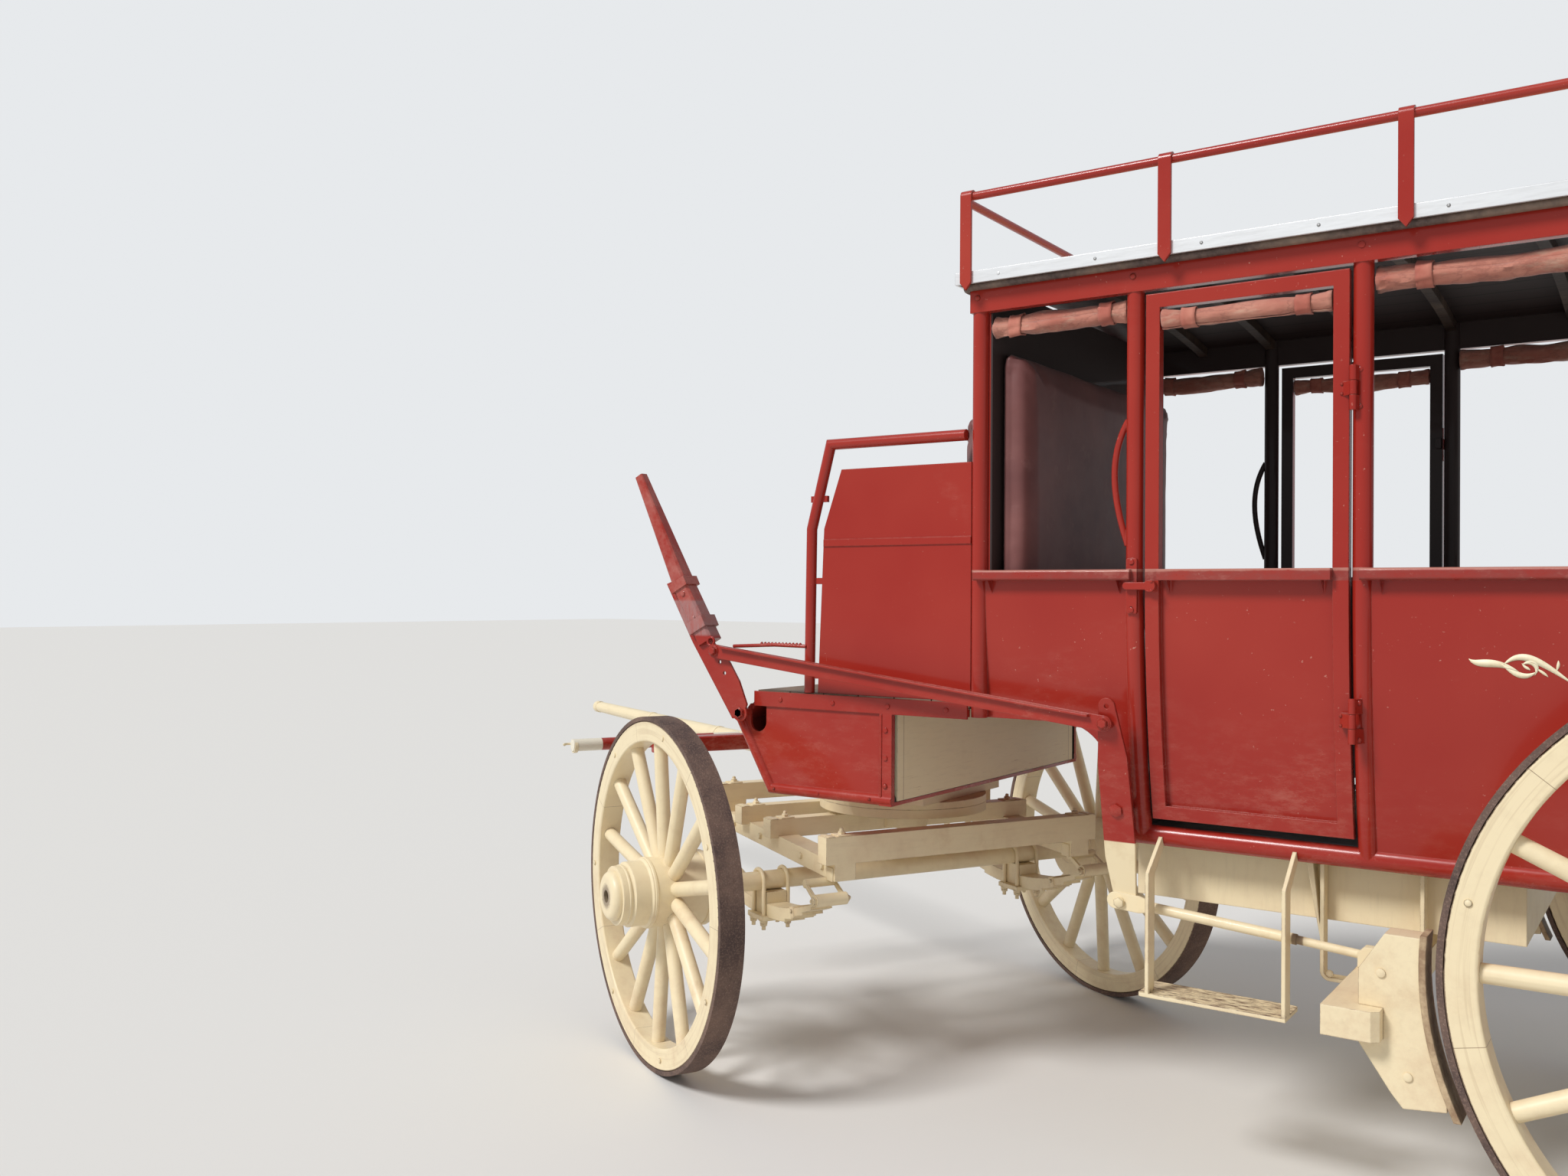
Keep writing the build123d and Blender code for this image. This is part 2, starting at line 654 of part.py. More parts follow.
DOOR_REAR = DOOR_REAR_POST + POST_RADIUS + 4
DOOR_FRONT = DOOR_FRONT_POST - POST_RADIUS - DOOR_GAP
with BuildPart() as door_left:
    with BuildSketch(cross_plane(DOOR_REAR)):
        with BuildLine():
            skin(HALF_WIDTH, DOOR_THICK, DOOR_BOTTOM, DOOR_TOP)
        make_face()
    extrude(amount=DOOR_FRONT - DOOR_REAR)
    with BuildSketch(side_plane(0)):
        with Locations(((DOOR_REAR + DOOR_FRONT) / 2, (BELT_Z + DOOR_TOP - DOOR_FRAME) / 2)):
            Rectangle(DOOR_FRONT - DOOR_REAR - 2 * DOOR_FRAME, DOOR_TOP - DOOR_FRAME - BELT_Z)
    extrude(amount=-HALF_WIDTH - 50, mode=Mode.SUBTRACT)
    with BuildSketch(cross_plane(DOOR_REAR + DOOR_FRAME)):
        with BuildLine():
            skin(HALF_WIDTH + 1, DOOR_THICK - WALL, DOOR_BOTTOM + DOOR_FRAME, BELT_Z - BELT_BOARD)
        make_face()
    extrude(amount=DOOR_FRONT - DOOR_REAR - 2 * DOOR_FRAME, mode=Mode.SUBTRACT)
    with BuildSketch(cross_plane(DOOR_REAR + DOOR_FRAME)):
        with Locations((HALF_WIDTH + (BELT_BOARD_OUT - DOOR_THICK) / 2, BELT_Z - BELT_BOARD / 2)):
            Rectangle(BELT_BOARD_OUT + DOOR_THICK, BELT_BOARD)
    extrude(amount=DOOR_FRONT - DOOR_REAR - 2 * DOOR_FRAME)
    with BuildSketch(side_plane(HALF_WIDTH)):
        with Locations((DOOR_FRONT - DOOR_FRAME / 2, LATCH_Z)):
            Circle(16)
    extrude(amount=-LATCH_OUT)
    with BuildSketch(side_plane(HALF_WIDTH + LATCH_OUT - 8)):
        with Locations((DOOR_FRONT + 10, LATCH_Z)):
            SlotOverall(90, 20)
    extrude(amount=-8)
    for z in HINGE_ZS:
        with BuildSketch(Plane.XY.offset(z - HINGE_HEIGHT / 6 + 1)):
            with Locations((HINGE_X, HINGE_Y)):
                Circle(HINGE_RADIUS)
            with BuildLine():
                Polyline(
                    (HINGE_X, HINGE_Y + HINGE_RADIUS),
                    (HINGE_X, HINGE_Y - 4),
                    (DOOR_REAR + 2, HALF_WIDTH - 4),
                    (DOOR_REAR + 2, HALF_WIDTH - 50),
                    (DOOR_REAR + 20, HALF_WIDTH - 50),
                    (DOOR_REAR + 20, HALF_WIDTH - 4),
                    close=True,
                )
            make_face()
            with Locations((HINGE_X, HINGE_Y)):
                Circle(PIN_RADIUS + PIN_GAP, mode=Mode.SUBTRACT)
        extrude(amount=HINGE_HEIGHT / 3 - 2)
save(door_left.part, "door_left")
save(mirrored(door_left.part), "door_right")

# Cabin shell
# The floor, the well below it and the end walls close the body between the two sides.

INSIDE_Y = HALF_WIDTH - PANEL_SET_BACK - WALL - 0.5
WALL_FRONT = FRONT_POST - POST_RADIUS
WALL_REAR = REAR_POST + POST_RADIUS + WALL


def side_notches():
    """Room at both edges of an end wall for the belt board and the fascia."""
    for sign in (1, -1):
        for low, high, inner in (
            (BELT_Z - BELT_BOARD, BELT_Z, HALF_WIDTH - BELT_BOARD_IN),
            (FASCIA_Z, ROOF_Z, FASCIA_IN),
            (SILL_Z, SILL_Z + SILL_RADIUS, SILL_Y - SILL_RADIUS),
        ):
            with Locations((sign * (inner + HALF_WIDTH) / 2, (low + high) / 2)):
                Rectangle(HALF_WIDTH - inner + 1, high - low + 1, mode=Mode.SUBTRACT)


def hollow(outer, low, high):
    """Closed outline of the space between the body sides."""
    for sign in (1, -1):
        ThreePointArc(
            (sign * (outer - tumble(low)), low),
            (sign * (outer - tumble((low + BELT_Z) / 2)), (low + BELT_Z) / 2),
            (sign * outer, BELT_Z),
        )
        Line((sign * outer, BELT_Z), (sign * outer, high))
    Line((-outer, high), (outer, high))
    Line((-outer + tumble(low), low), (outer - tumble(low), low))


with BuildPart() as floor:
    with BuildSketch(Plane.XY.offset(SILL_Z - FLOOR_THICK / 2)):
        with Locations(((ARCH_FOOT + REAR_POST) / 2, 0)):
            Rectangle(ARCH_FOOT - REAR_POST - 2, 2 * (SILL_Y - SILL_RADIUS - FIT))
    extrude(amount=FLOOR_THICK)
save(floor.part, "floor")

with BuildPart() as well:
    with BuildSketch(Plane.XY.offset(WELL_Z)):
        with Locations(((WELL_FRONT + WELL_REAR) / 2, 0)):
            Rectangle(WELL_FRONT - WELL_REAR, 2 * WELL_HALF_WIDTH)
    extrude(amount=SILL_Z - FLOOR_THICK / 2 - WELL_Z)
    with BuildSketch(Plane.XY.offset(WELL_Z + WALL)):
        with Locations(((WELL_FRONT + WELL_REAR) / 2, 0)):
            Rectangle(WELL_FRONT - WELL_REAR - 2 * WALL, 2 * (WELL_HALF_WIDTH - WALL))
    extrude(amount=SILL_Z, mode=Mode.SUBTRACT)
save(well.part, "well")

with BuildPart() as front_wall:
    with BuildSketch(side_plane(0)):
        with Locations((ARCH_FOOT - WALL, SILL_Z + FLOOR_THICK / 2)):
            Rectangle(
                WALL_FRONT - ARCH_FOOT + WALL, ROOF_Z - SILL_Z - FLOOR_THICK / 2,
                align=(Align.MIN, Align.MIN),
            )
        with Locations((ARCH_FOOT - WALL, ROOF_Z)):
            Rectangle(
                WALL_FRONT - ARCH_FOOT, ROOF_Z - ARCH_Z - WALL,
                align=(Align.MIN, Align.MAX), mode=Mode.SUBTRACT,
            )
        with Locations((ARCH_FOOT, ARCH_Z)):
            RectangleRounded(
                1000, 1000, ARCH_RADIUS, align=(Align.MIN, Align.MAX), mode=Mode.SUBTRACT
            )
        fillet(vertices().sort_by_distance((ARCH_FOOT - WALL, ARCH_Z + WALL))[0], radius=ARCH_RADIUS + WALL)
    extrude(amount=HALF_WIDTH, both=True)
    with BuildSketch(cross_plane(ARCH_FOOT - 50)):
        with BuildLine():
            hollow(INSIDE_Y, SILL_Z, ROOF_Z)
        make_face()
        side_notches()
    extrude(amount=600, mode=Mode.INTERSECT)
save(front_wall.part, "front_wall")

REAR_WINDOW = (700, 420)
REAR_SILL = 1750
with BuildPart() as rear_wall:
    with BuildSketch(cross_plane(REAR_POST + POST_RADIUS)):
        with BuildLine():
            hollow(INSIDE_Y, SILL_Z + FLOOR_THICK / 2, ROOF_Z)
        make_face()
        side_notches()
        with Locations((0, REAR_SILL + REAR_WINDOW[1] / 2)):
            RectangleRounded(*REAR_WINDOW, 30, mode=Mode.SUBTRACT)
    extrude(amount=WALL)
save(rear_wall.part, "rear_wall")

# Roof
# A crowned deck overhangs the sides, with a bright band round its edge.

ROOF_HALF = HALF_WIDTH + ROOF_OVERHANG
ROOF_REAR = REAR_POST - (ROOF_FRONT - FRONT_POST)
with BuildPart() as roof:
    with BuildSketch(cross_plane(ROOF_REAR)):
        with BuildLine():
            Polyline((-ROOF_HALF + 75, ROOF_Z), (-ROOF_HALF, ROOF_Z), (-ROOF_HALF, ROOF_Z + ROOF_THICK))
            Polyline((ROOF_HALF - 75, ROOF_Z), (ROOF_HALF, ROOF_Z), (ROOF_HALF, ROOF_Z + ROOF_THICK))
            ThreePointArc(
                (-ROOF_HALF, ROOF_Z + ROOF_THICK),
                (0, ROOF_Z + ROOF_THICK + ROOF_CROWN),
                (ROOF_HALF, ROOF_Z + ROOF_THICK),
            )
            ThreePointArc((-ROOF_HALF + 75, ROOF_Z), (0, ROOF_Z + ROOF_CROWN), (ROOF_HALF - 75, ROOF_Z))
        make_face()
    extrude(amount=ROOF_FRONT - ROOF_REAR)
save(roof.part, "roof")

BAND_Y = ROOF_HALF + FIT
with BuildPart() as roof_band:
    with BuildSketch(Plane.XY.offset(ROOF_Z - 10)):
        with Locations(((ROOF_FRONT + ROOF_REAR) / 2, 0)):
            Rectangle(ROOF_FRONT - ROOF_REAR + 2 * BAND_THICK, 2 * (BAND_Y + BAND_THICK))
            Rectangle(ROOF_FRONT - ROOF_REAR + 0.6, 2 * BAND_Y, mode=Mode.SUBTRACT)
    extrude(amount=BAND_HEIGHT)
save(roof_band.part, "roof_band")

RACK_Y = BAND_Y + BAND_THICK + FIT
RAIL_Y = RACK_Y - RACK_RADIUS + 2
RAIL_FRONT = ROOF_FRONT - 4
RAIL_REAR = ROOF_REAR + 4
RACK_PITCH = (RACK_FIRST - REAR_POST - RACK_TAIL) / (RACK_COUNT - 1)
RACK_XS = [RACK_FIRST - i * RACK_PITCH for i in range(RACK_COUNT)]
with BuildPart() as roof_rack:
    with BuildLine(Plane.XY.offset(RACK_Z)) as rail_line:
        Polyline(
            (RAIL_FRONT, RAIL_Y),
            (RAIL_FRONT, -RAIL_Y),
            (RAIL_REAR, -RAIL_Y),
            (RAIL_REAR, RAIL_Y),
            close=True,
        )
        fillet(rail_line.vertices(), radius=40)
    rail_path = rail_line.wires()[0]
    with BuildSketch(Plane(origin=rail_path @ 0, z_dir=rail_path % 0)):
        Circle(RACK_RADIUS)
    sweep(path=rail_path)
    for side, sign in SIDES:
        for x in RACK_XS:
            with BuildSketch(side_plane(sign * RACK_Y)):
                with BuildLine():
                    Polyline(
                        (x, RACK_FOOT),
                        (x + RACK_BAR / 2, RACK_FOOT + RACK_POINT),
                        (x + RACK_BAR / 2, RACK_Z),
                        (x - RACK_BAR / 2, RACK_Z),
                        (x - RACK_BAR / 2, RACK_FOOT + RACK_POINT),
                        close=True,
                    )
                make_face()
            extrude(amount=-sign * RACK_THICK)
            with BuildSketch(cross_plane(x - RACK_BAR / 2)):
                with Locations((sign * RAIL_Y, RACK_Z)):
                    Circle(RACK_Y + RACK_THICK - RAIL_Y)
                    Rectangle(
                        4 * RACK_RADIUS, 4 * RACK_RADIUS,
                        align=(Align.CENTER, Align.MAX), mode=Mode.SUBTRACT,
                    )
            extrude(amount=RACK_BAR)
save(roof_rack.part, "roof_rack")

# Box
# The driver's box has sheet sides set inside bent tubes, a seat riser and timber foot boards over the boot.

BOX_Y = HALF_WIDTH - PANEL_SET_BACK - WALL
SEAT_Z = 1720
SEAT_FRONT = BOX_FRONT - 80
BOX_REAR = FRONT_POST + POST_RADIUS + FIT
TUBE_LEAN = 52
RIB_Z = 1720
STAY_ZS = (1300, 1600, 1860)
BOARD_COUNT = 6
with BuildPart() as driver_box:
    for side, sign in SIDES:
        with BuildSketch(side_plane(sign * (BOX_Y + WALL / 2))):
            with BuildLine():
                Polyline(
                    (BOX_REAR, BOX_FLOOR),
                    (BOX_FRONT + 20, BOX_FLOOR),
                    (BOX_FRONT, BOX_SHOULDER),
                    (BOX_FRONT - 64, BOX_TOP),
                    (BOX_REAR, BOX_TOP),
                    close=True,
                )
            make_face()
        extrude(amount=WALL / 2, both=True)
        with BuildSketch(side_plane(sign * (BOX_Y + WALL))):
            with Locations(((BOX_REAR + BOX_FRONT) / 2, RIB_Z)):
                Rectangle(BOX_FRONT - BOX_REAR, 22)
        extrude(amount=4, both=True)
        with BuildLine(side_plane(sign * (BOX_Y + WALL))) as edge_line:
            Polyline(
                (BOX_FRONT + TUBE_LEAN, BOX_FLOOR),
                (BOX_FRONT + TUBE_LEAN - 6, BOX_SHOULDER),
                (BOX_FRONT - 24, BOX_RAIL_Z),
                (BOX_REAR + TUBE_RADIUS, BOX_RAIL_Z),
            )
        with BuildSketch(
            Plane(
                origin=(BOX_FRONT + TUBE_LEAN, sign * (BOX_Y + WALL), BOX_FLOOR),
                z_dir=edge_line.line % 0,
            )
        ):
            Circle(TUBE_RADIUS)
        sweep(path=edge_line.line, transition=Transition.RIGHT)
        with BuildSketch(side_plane(sign * (BOX_Y + WALL / 2))):
            for z in STAY_ZS:
                with Locations((BOX_FRONT + 20, z)):
                    Rectangle(TUBE_LEAN + 10, 20)
        extrude(amount=6, both=True)
    with BuildSketch(side_plane(0)):
        with BuildLine():
            Polyline(
                (BOX_REAR, SEAT_Z),
                (SEAT_FRONT, SEAT_Z),
                (SEAT_FRONT, BOX_FLOOR),
                (SEAT_FRONT - 18, BOX_FLOOR),
                (SEAT_FRONT - 18, SEAT_Z - 18),
                (BOX_REAR, SEAT_Z - 18),
                close=True,
            )
        make_face()
    extrude(amount=BOX_Y, both=True)
save(driver_box.part, "driver_box")

with BuildPart() as foot_boards:
    for i in range(BOARD_COUNT):
        with BuildSketch(Plane.XY.offset(BOX_FLOOR - BOARD_THICK - FIT)):
            with Locations((BOARD_FRONT - (i + 0.5) * (BOARD_FRONT - BOX_REAR) / BOARD_COUNT, 0)):
                Rectangle((BOARD_FRONT - BOX_REAR) / BOARD_COUNT - 4, 2 * (HALF_WIDTH - WALL - FIT))
        extrude(amount=BOARD_THICK)
save(foot_boards.part, "foot_boards")

# Boot
# A sheet box below the foot boards, with tubes along its lower and sloping edges and a rail above.

BOARD_UNDER = BOX_FLOOR - BOARD_THICK - 2 * FIT
NOTCH_BACK = 12
NOTCH_RADIUS = 32
NOTCH_DEPTH = 112
RAIL_HEIGHT = 48
RAIL_Z = 1218
RAIL_OUT = 8
EDGE_BOARD = 44
with BuildPart() as boot:
    with BuildSketch(side_plane(0)):
        with BuildLine():
            Polyline(
                (BOOT_REAR, BOOT_BOTTOM),
                (BOOT_FRONT_LOW, BOOT_BOTTOM),
                (BOOT_FRONT_HIGH, BOOT_HIGH_Z),
                (BOARD_FRONT, BOARD_UNDER),
                (BOX_REAR, BOARD_UNDER),
                (BOX_REAR, ARCH_Z),
                (BOOT_REAR, ARCH_Z),
                close=True,
            )
        make_face()
    extrude(amount=HALF_WIDTH, both=True)
    with BuildSketch(side_plane(0)):
        with BuildLine():
            Polyline(
                (BOX_REAR - 10, BOOT_BOTTOM + WALL),
                (BOOT_FRONT_LOW - WALL / 2, BOOT_BOTTOM + WALL),
                (BOOT_FRONT_HIGH - 1.4 * WALL, BOOT_HIGH_Z),
                (BOARD_FRONT - 1.4 * WALL, BOARD_UNDER),
                (BOARD_FRONT - 1.4 * WALL, BOX_FLOOR),
                (BOX_REAR - 10, BOX_FLOOR),
                close=True,
            )
        make_face()
    extrude(amount=HALF_WIDTH - WALL, both=True, mode=Mode.SUBTRACT)
    for side, sign in SIDES:
        with BuildSketch(side_plane(sign * (HALF_WIDTH - WALL / 2))):
            with Locations((BOARD_FRONT - NOTCH_BACK, BOARD_UNDER)):
                SlotOverall(2 * NOTCH_DEPTH, 2 * NOTCH_RADIUS, rotation=90)
        extrude(amount=WALL / 2 + 1, both=True, mode=Mode.SUBTRACT)
        with BuildSketch(side_plane(sign * HALF_WIDTH)):
            with Locations(((BOX_REAR + BOARD_FRONT) / 2, RAIL_Z)):
                Rectangle(BOARD_FRONT - BOX_REAR, RAIL_HEIGHT)
            with Locations((BOOT_REAR + EDGE_BOARD / 2, (BOOT_BOTTOM + ARCH_Z) / 2)):
                Rectangle(EDGE_BOARD, ARCH_Z - BOOT_BOTTOM)
        extrude(amount=-sign * RAIL_OUT)
        with BuildLine(side_plane(sign * (HALF_WIDTH - 4))) as boot_edge:
            Polyline(
                (BOOT_REAR, BOOT_BOTTOM + TUBE_RADIUS),
                (BOOT_FRONT_LOW - 6, BOOT_BOTTOM + TUBE_RADIUS),
                (BOOT_FRONT_HIGH - 2, BOOT_HIGH_Z),
            )
        with BuildSketch(Plane(origin=boot_edge.line @ 0, z_dir=boot_edge.line % 0)):
            Circle(TUBE_RADIUS)
        sweep(path=boot_edge.line, transition=Transition.RIGHT)
save(boot.part, "boot")

with BuildPart() as boot_back:
    with BuildSketch(cross_plane(BOOT_REAR + FIT)):
        with Locations((0, BOOT_BOTTOM + WALL + FIT)):
            Rectangle(
                2 * (HALF_WIDTH - WALL - FIT - TUBE_RADIUS), BOARD_UNDER - BOOT_BOTTOM - WALL - 2 * FIT,
                align=(Align.CENTER, Align.MIN),
            )
    extrude(amount=WALL)
save(boot_back.part, "boot_back")

# Seats
# Benches in the cabin and padded backs and cushions, kept plain here.

BENCH_Z = 1350
FRONT_BENCH_REAR = 1560
REAR_BENCH_FRONT = 60
BACK_THICK = 90
CABIN_FRONT = WALL_FRONT - WALL
with BuildPart() as benches:
    for near, far in ((FRONT_BENCH_REAR, CABIN_FRONT - FIT), (REAR_BENCH_FRONT, WALL_REAR + FIT)):
        step = 18 if far > near else -18
        with BuildSketch(side_plane(0)):
            with BuildLine():
                Polyline(
                    (near, SILL_Z + FLOOR_THICK / 2),
                    (near, BENCH_Z),
                    (far, BENCH_Z),
                    (far, BENCH_Z - 18),
                    (near + step, BENCH_Z - 18),
                    (near + step, SILL_Z + FLOOR_THICK / 2),
                    close=True,
                )
            make_face()
        extrude(amount=SILL_Y - SILL_RADIUS - 5, both=True)
save(benches.part, "benches")

CUSHION_THICK = 90
BACK_HALF = HALF_WIDTH - BELT_BOARD_IN - FIT
CUSHION_HALF = BACK_HALF - 40
CUSHIONS = (
    ("cushion_driver", BOX_REAR + 60, SEAT_FRONT, SEAT_Z, CUSHION_THICK, BOX_Y - 40),
    ("back_driver", BOX_REAR, BOX_REAR + 60 - FIT, SEAT_Z, 380, BOX_Y - 40),
    ("cushion_front", FRONT_BENCH_REAR, CABIN_FRONT - BACK_THICK - FIT, BENCH_Z, CUSHION_THICK, CUSHION_HALF),
    ("back_front", CABIN_FRONT - BACK_THICK, CABIN_FRONT - FIT, BENCH_Z, 930, BACK_HALF),
    ("cushion_rear", WALL_REAR + BACK_THICK + FIT, REAR_BENCH_FRONT, BENCH_Z, CUSHION_THICK, CUSHION_HALF),
    ("back_rear", WALL_REAR + FIT, WALL_REAR + BACK_THICK, BENCH_Z, REAR_SILL - BENCH_Z - 20, CUSHION_HALF),
)
for name, rear, front, low, height, half in CUSHIONS:
    with BuildPart() as cushion:
        with BuildSketch(Plane.XY.offset(low + FIT)):
            with Locations(((rear + front) / 2, 0)):
                Rectangle(front - rear, 2 * half)
        extrude(amount=height)
    save(cushion.part, name)

# Blinds
# Rolled canvas under the head of each window.

BLIND_RADIUS = 36
BLIND_Y = HALF_WIDTH - 46
BLIND_Z = FASCIA_Z - BLIND_RADIUS - FIT
with BuildPart() as blinds_left:
    for rear, front in (
        (REAR_POST + WALL, MIDDLE_POST),
        (MIDDLE_POST, DOOR_REAR_POST),
        (DOOR_FRONT_POST, FRONT_POST - WALL),
    ):
        with BuildSketch(cross_plane(rear + POST_RADIUS + FIT)):
            with Locations((BLIND_Y, BLIND_Z)):
                Circle(BLIND_RADIUS)
        extrude(amount=front - rear - 2 * POST_RADIUS - 2 * FIT)
save(blinds_left.part, "blinds_left")
save(mirrored(blinds_left.part), "blinds_right")

with BuildPart() as door_blind_left:
    with BuildSketch(cross_plane(DOOR_REAR + DOOR_FRAME + FIT)):
        with Locations((HALF_WIDTH - DOOR_THICK / 2, DOOR_TOP - DOOR_FRAME - 30 - FIT)):
            Circle(30)
    extrude(amount=DOOR_FRONT - DOOR_REAR - 2 * DOOR_FRAME - 2 * FIT)
save(door_blind_left.part, "door_blind_left")
save(mirrored(door_blind_left.part), "door_blind_right")

# Steps
# A flat-bar stirrup hangs from the sill below each door, with its arms bent in at the top.
# A plate tread lies across its foot and reaches in under the sill.

STEP_Y = 700
STEP_FRONT = DOOR_FRONT_POST - 50
STEP_LENGTH = 362
STEP_TREAD_Z = 498
STEP_KNEE_Z = 810
STEP_BAR = 46
STEP_THICK = 10
TREAD_OUT = 20
TREAD_DEPTH = 130
with BuildPart() as step_left:
    for x in (STEP_FRONT - STEP_LENGTH, STEP_FRONT - STEP_THICK):
        with BuildSketch(cross_plane(x)):
            with BuildLine():
                Polyline(
                    (SILL_Y - 12, SILL_Z),
                    (STEP_Y - STEP_BAR / 2, STEP_KNEE_Z),
                    (STEP_Y - STEP_BAR / 2, STEP_TREAD_Z - STEP_THICK),
                    (STEP_Y + STEP_BAR / 2, STEP_TREAD_Z - STEP_THICK),
                    (STEP_Y + STEP_BAR / 2, STEP_KNEE_Z + 8),
                    (SILL_Y + SILL_RADIUS + 4, SILL_Z),
                    close=True,
                )
            make_face()
            with Locations((SILL_Y, SILL_Z)):
                Circle(SILL_RADIUS + FIT, mode=Mode.SUBTRACT)
            with Locations((SILL_Y, SILL_Z)):
                Rectangle(500, SILL_RADIUS, align=(Align.CENTER, Align.MIN), mode=Mode.SUBTRACT)
        extrude(amount=STEP_THICK)
    with BuildSketch(Plane.XY.offset(STEP_TREAD_Z)):
        with Locations((STEP_FRONT - (STEP_LENGTH - TREAD_OUT) / 2, STEP_Y + STEP_BAR / 2 - TREAD_DEPTH / 2)):
            RectangleRounded(STEP_LENGTH + TREAD_OUT, TREAD_DEPTH, 12)
    extrude(amount=-STEP_THICK)
save(step_left.part, "step_left")
save(mirrored(step_left.part), "step_right")

# Brake
# A plate lever with a timber handle pulls an angle bar, which swings a plate crank on the body's side.
# The crank leans with the side, and its foot draws a rod to the beam, which lies in two hanging straps.

LEVER_Y = 745
PLATE_THICK = 8
LEVER_X = BOOT_FRONT_HIGH - 36
LEVER_Z = 1172
LEVER_HOLES = ((83, 162), (63, 126))
HANDLE_FACE = LEVER_Y + 18
HANDLE_SECTIONS = ((138, 225, 63), (250, 415, 60), (434, 789, 33))
HANDLE_LEAN = 62
COLLARS = ((172, 282, 62, 40), (250, 415, 60, 32))
COLLAR_THICK = 6
PULL_Y = LEVER_Y + 20
PULL_START = 93
PULL_RISE = 1370
PULL_END = 1214
PULL_HEIGHT = 44
PULL_FLANGE = 16
BOLT_HEAD = 11
CRANK_X = ARCH_FOOT - 35
CRANK_Y = LEVER_Y
CRANK_LEAN = 11.5
CRANK_PIVOT = (-11, -244)
CRANK_FOOT = (-6, -505)
ROD_HEIGHT = 46
ROD_RADIUS = 14
ROD_END_RADIUS = 11
BEAM_X = 912
BEAM_Z = 608
BEAM_SIZE = (122, 68)
BEAM_OUT = 45
HANGER_Y = WELL_HALF_WIDTH + 30
HANGER_SPAN = (838, 1085)
HANGER_THICK = 10
HANGER_WIDTH = 40
BLOCK_GAP = 20
BLOCK_TOP = 808
BLOCK_BOTTOM = 428
LINING_THICK = 14
BLOCK_WIDTH = TYRE_WIDTH - 10
BLOCK_BACK = 722

CRANK_PLANE = Plane(
    origin=(0, CRANK_Y, PULL_END),
    x_dir=(1, 0, 0),
    z_dir=(0, -cos(radians(CRANK_LEAN)), sin(radians(CRANK_LEAN))),
)
CRANK_FOOT_Z = PULL_END + CRANK_FOOT[1] * cos(radians(CRANK_LEAN))
ROD_Y = CRANK_Y + CRANK_FOOT[1] * sin(radians(CRANK_LEAN)) + PLATE_THICK
BEAM_TOP = BEAM_Z + BEAM_SIZE[1] / 2 + FIT
HANGER_BOTTOM = BEAM_Z - BEAM_SIZE[1] / 2 - HANGER_THICK
HANGER_TOP = SILL_Z - FLOOR_THICK / 2 - FIT

with BuildPart() as brake_lever:
    with BuildSketch(side_plane(LEVER_Y)):
        with BuildLine():
            Polyline(
                (LEVER_X - 10, LEVER_Z - 21),
                (LEVER_X + 30, LEVER_Z - 20),
                (LEVER_X + 198, LEVER_Z + 223),
                (LEVER_X + 313, LEVER_Z + 418),
                (LEVER_X + 250, LEVER_Z + 440),
                (LEVER_X + 110, LEVER_Z + 225),
                (LEVER_X + 45, LEVER_Z + 165),
                (LEVER_X + 3, LEVER_Z + 102),
                (LEVER_X - 28, LEVER_Z + 28),
                close=True,
            )
        make_face()
        with Locations((LEVER_X, LEVER_Z)):
            Circle(28)
        for dx, dz in LEVER_HOLES:
            with Locations((LEVER_X + dx, LEVER_Z + dz)):
                Circle(6, mode=Mode.SUBTRACT)
    extrude(amount=PLATE_THICK / 2, both=True)
    for dx, dz, size in HANDLE_SECTIONS:
        handle_section = Plane(
            origin=(LEVER_X + dx, HANDLE_FACE - size / 2, LEVER_Z + dz),
            x_dir=(0, 1, 0),
            z_dir=(cos(radians(HANDLE_LEAN)), 0, sin(radians(HANDLE_LEAN))),
        )
        with BuildSketch(handle_section):
            Rectangle(size, size)
            chamfer(vertices(), length=size / 8)
    loft(ruled=True)
    for dx, dz, size, height in COLLARS:
        collar_plane = Plane(
            origin=(LEVER_X + dx, HANDLE_FACE - size / 2, LEVER_Z + dz),
            x_dir=(0, 1, 0),
            z_dir=(cos(radians(HANDLE_LEAN)), 0, sin(radians(HANDLE_LEAN))),
        )
        with BuildSketch(collar_plane):
            Rectangle(size + 2 * COLLAR_THICK, size + 2 * COLLAR_THICK)
        extrude(amount=height / 2, both=True)
    with BuildSketch(side_plane(HALF_WIDTH + FIT)):
        with Locations((LEVER_X, LEVER_Z)):
            Circle(14)
    extrude(amount=-(LEVER_Y - HALF_WIDTH - FIT + 14))
save(brake_lever.part, "brake_lever")

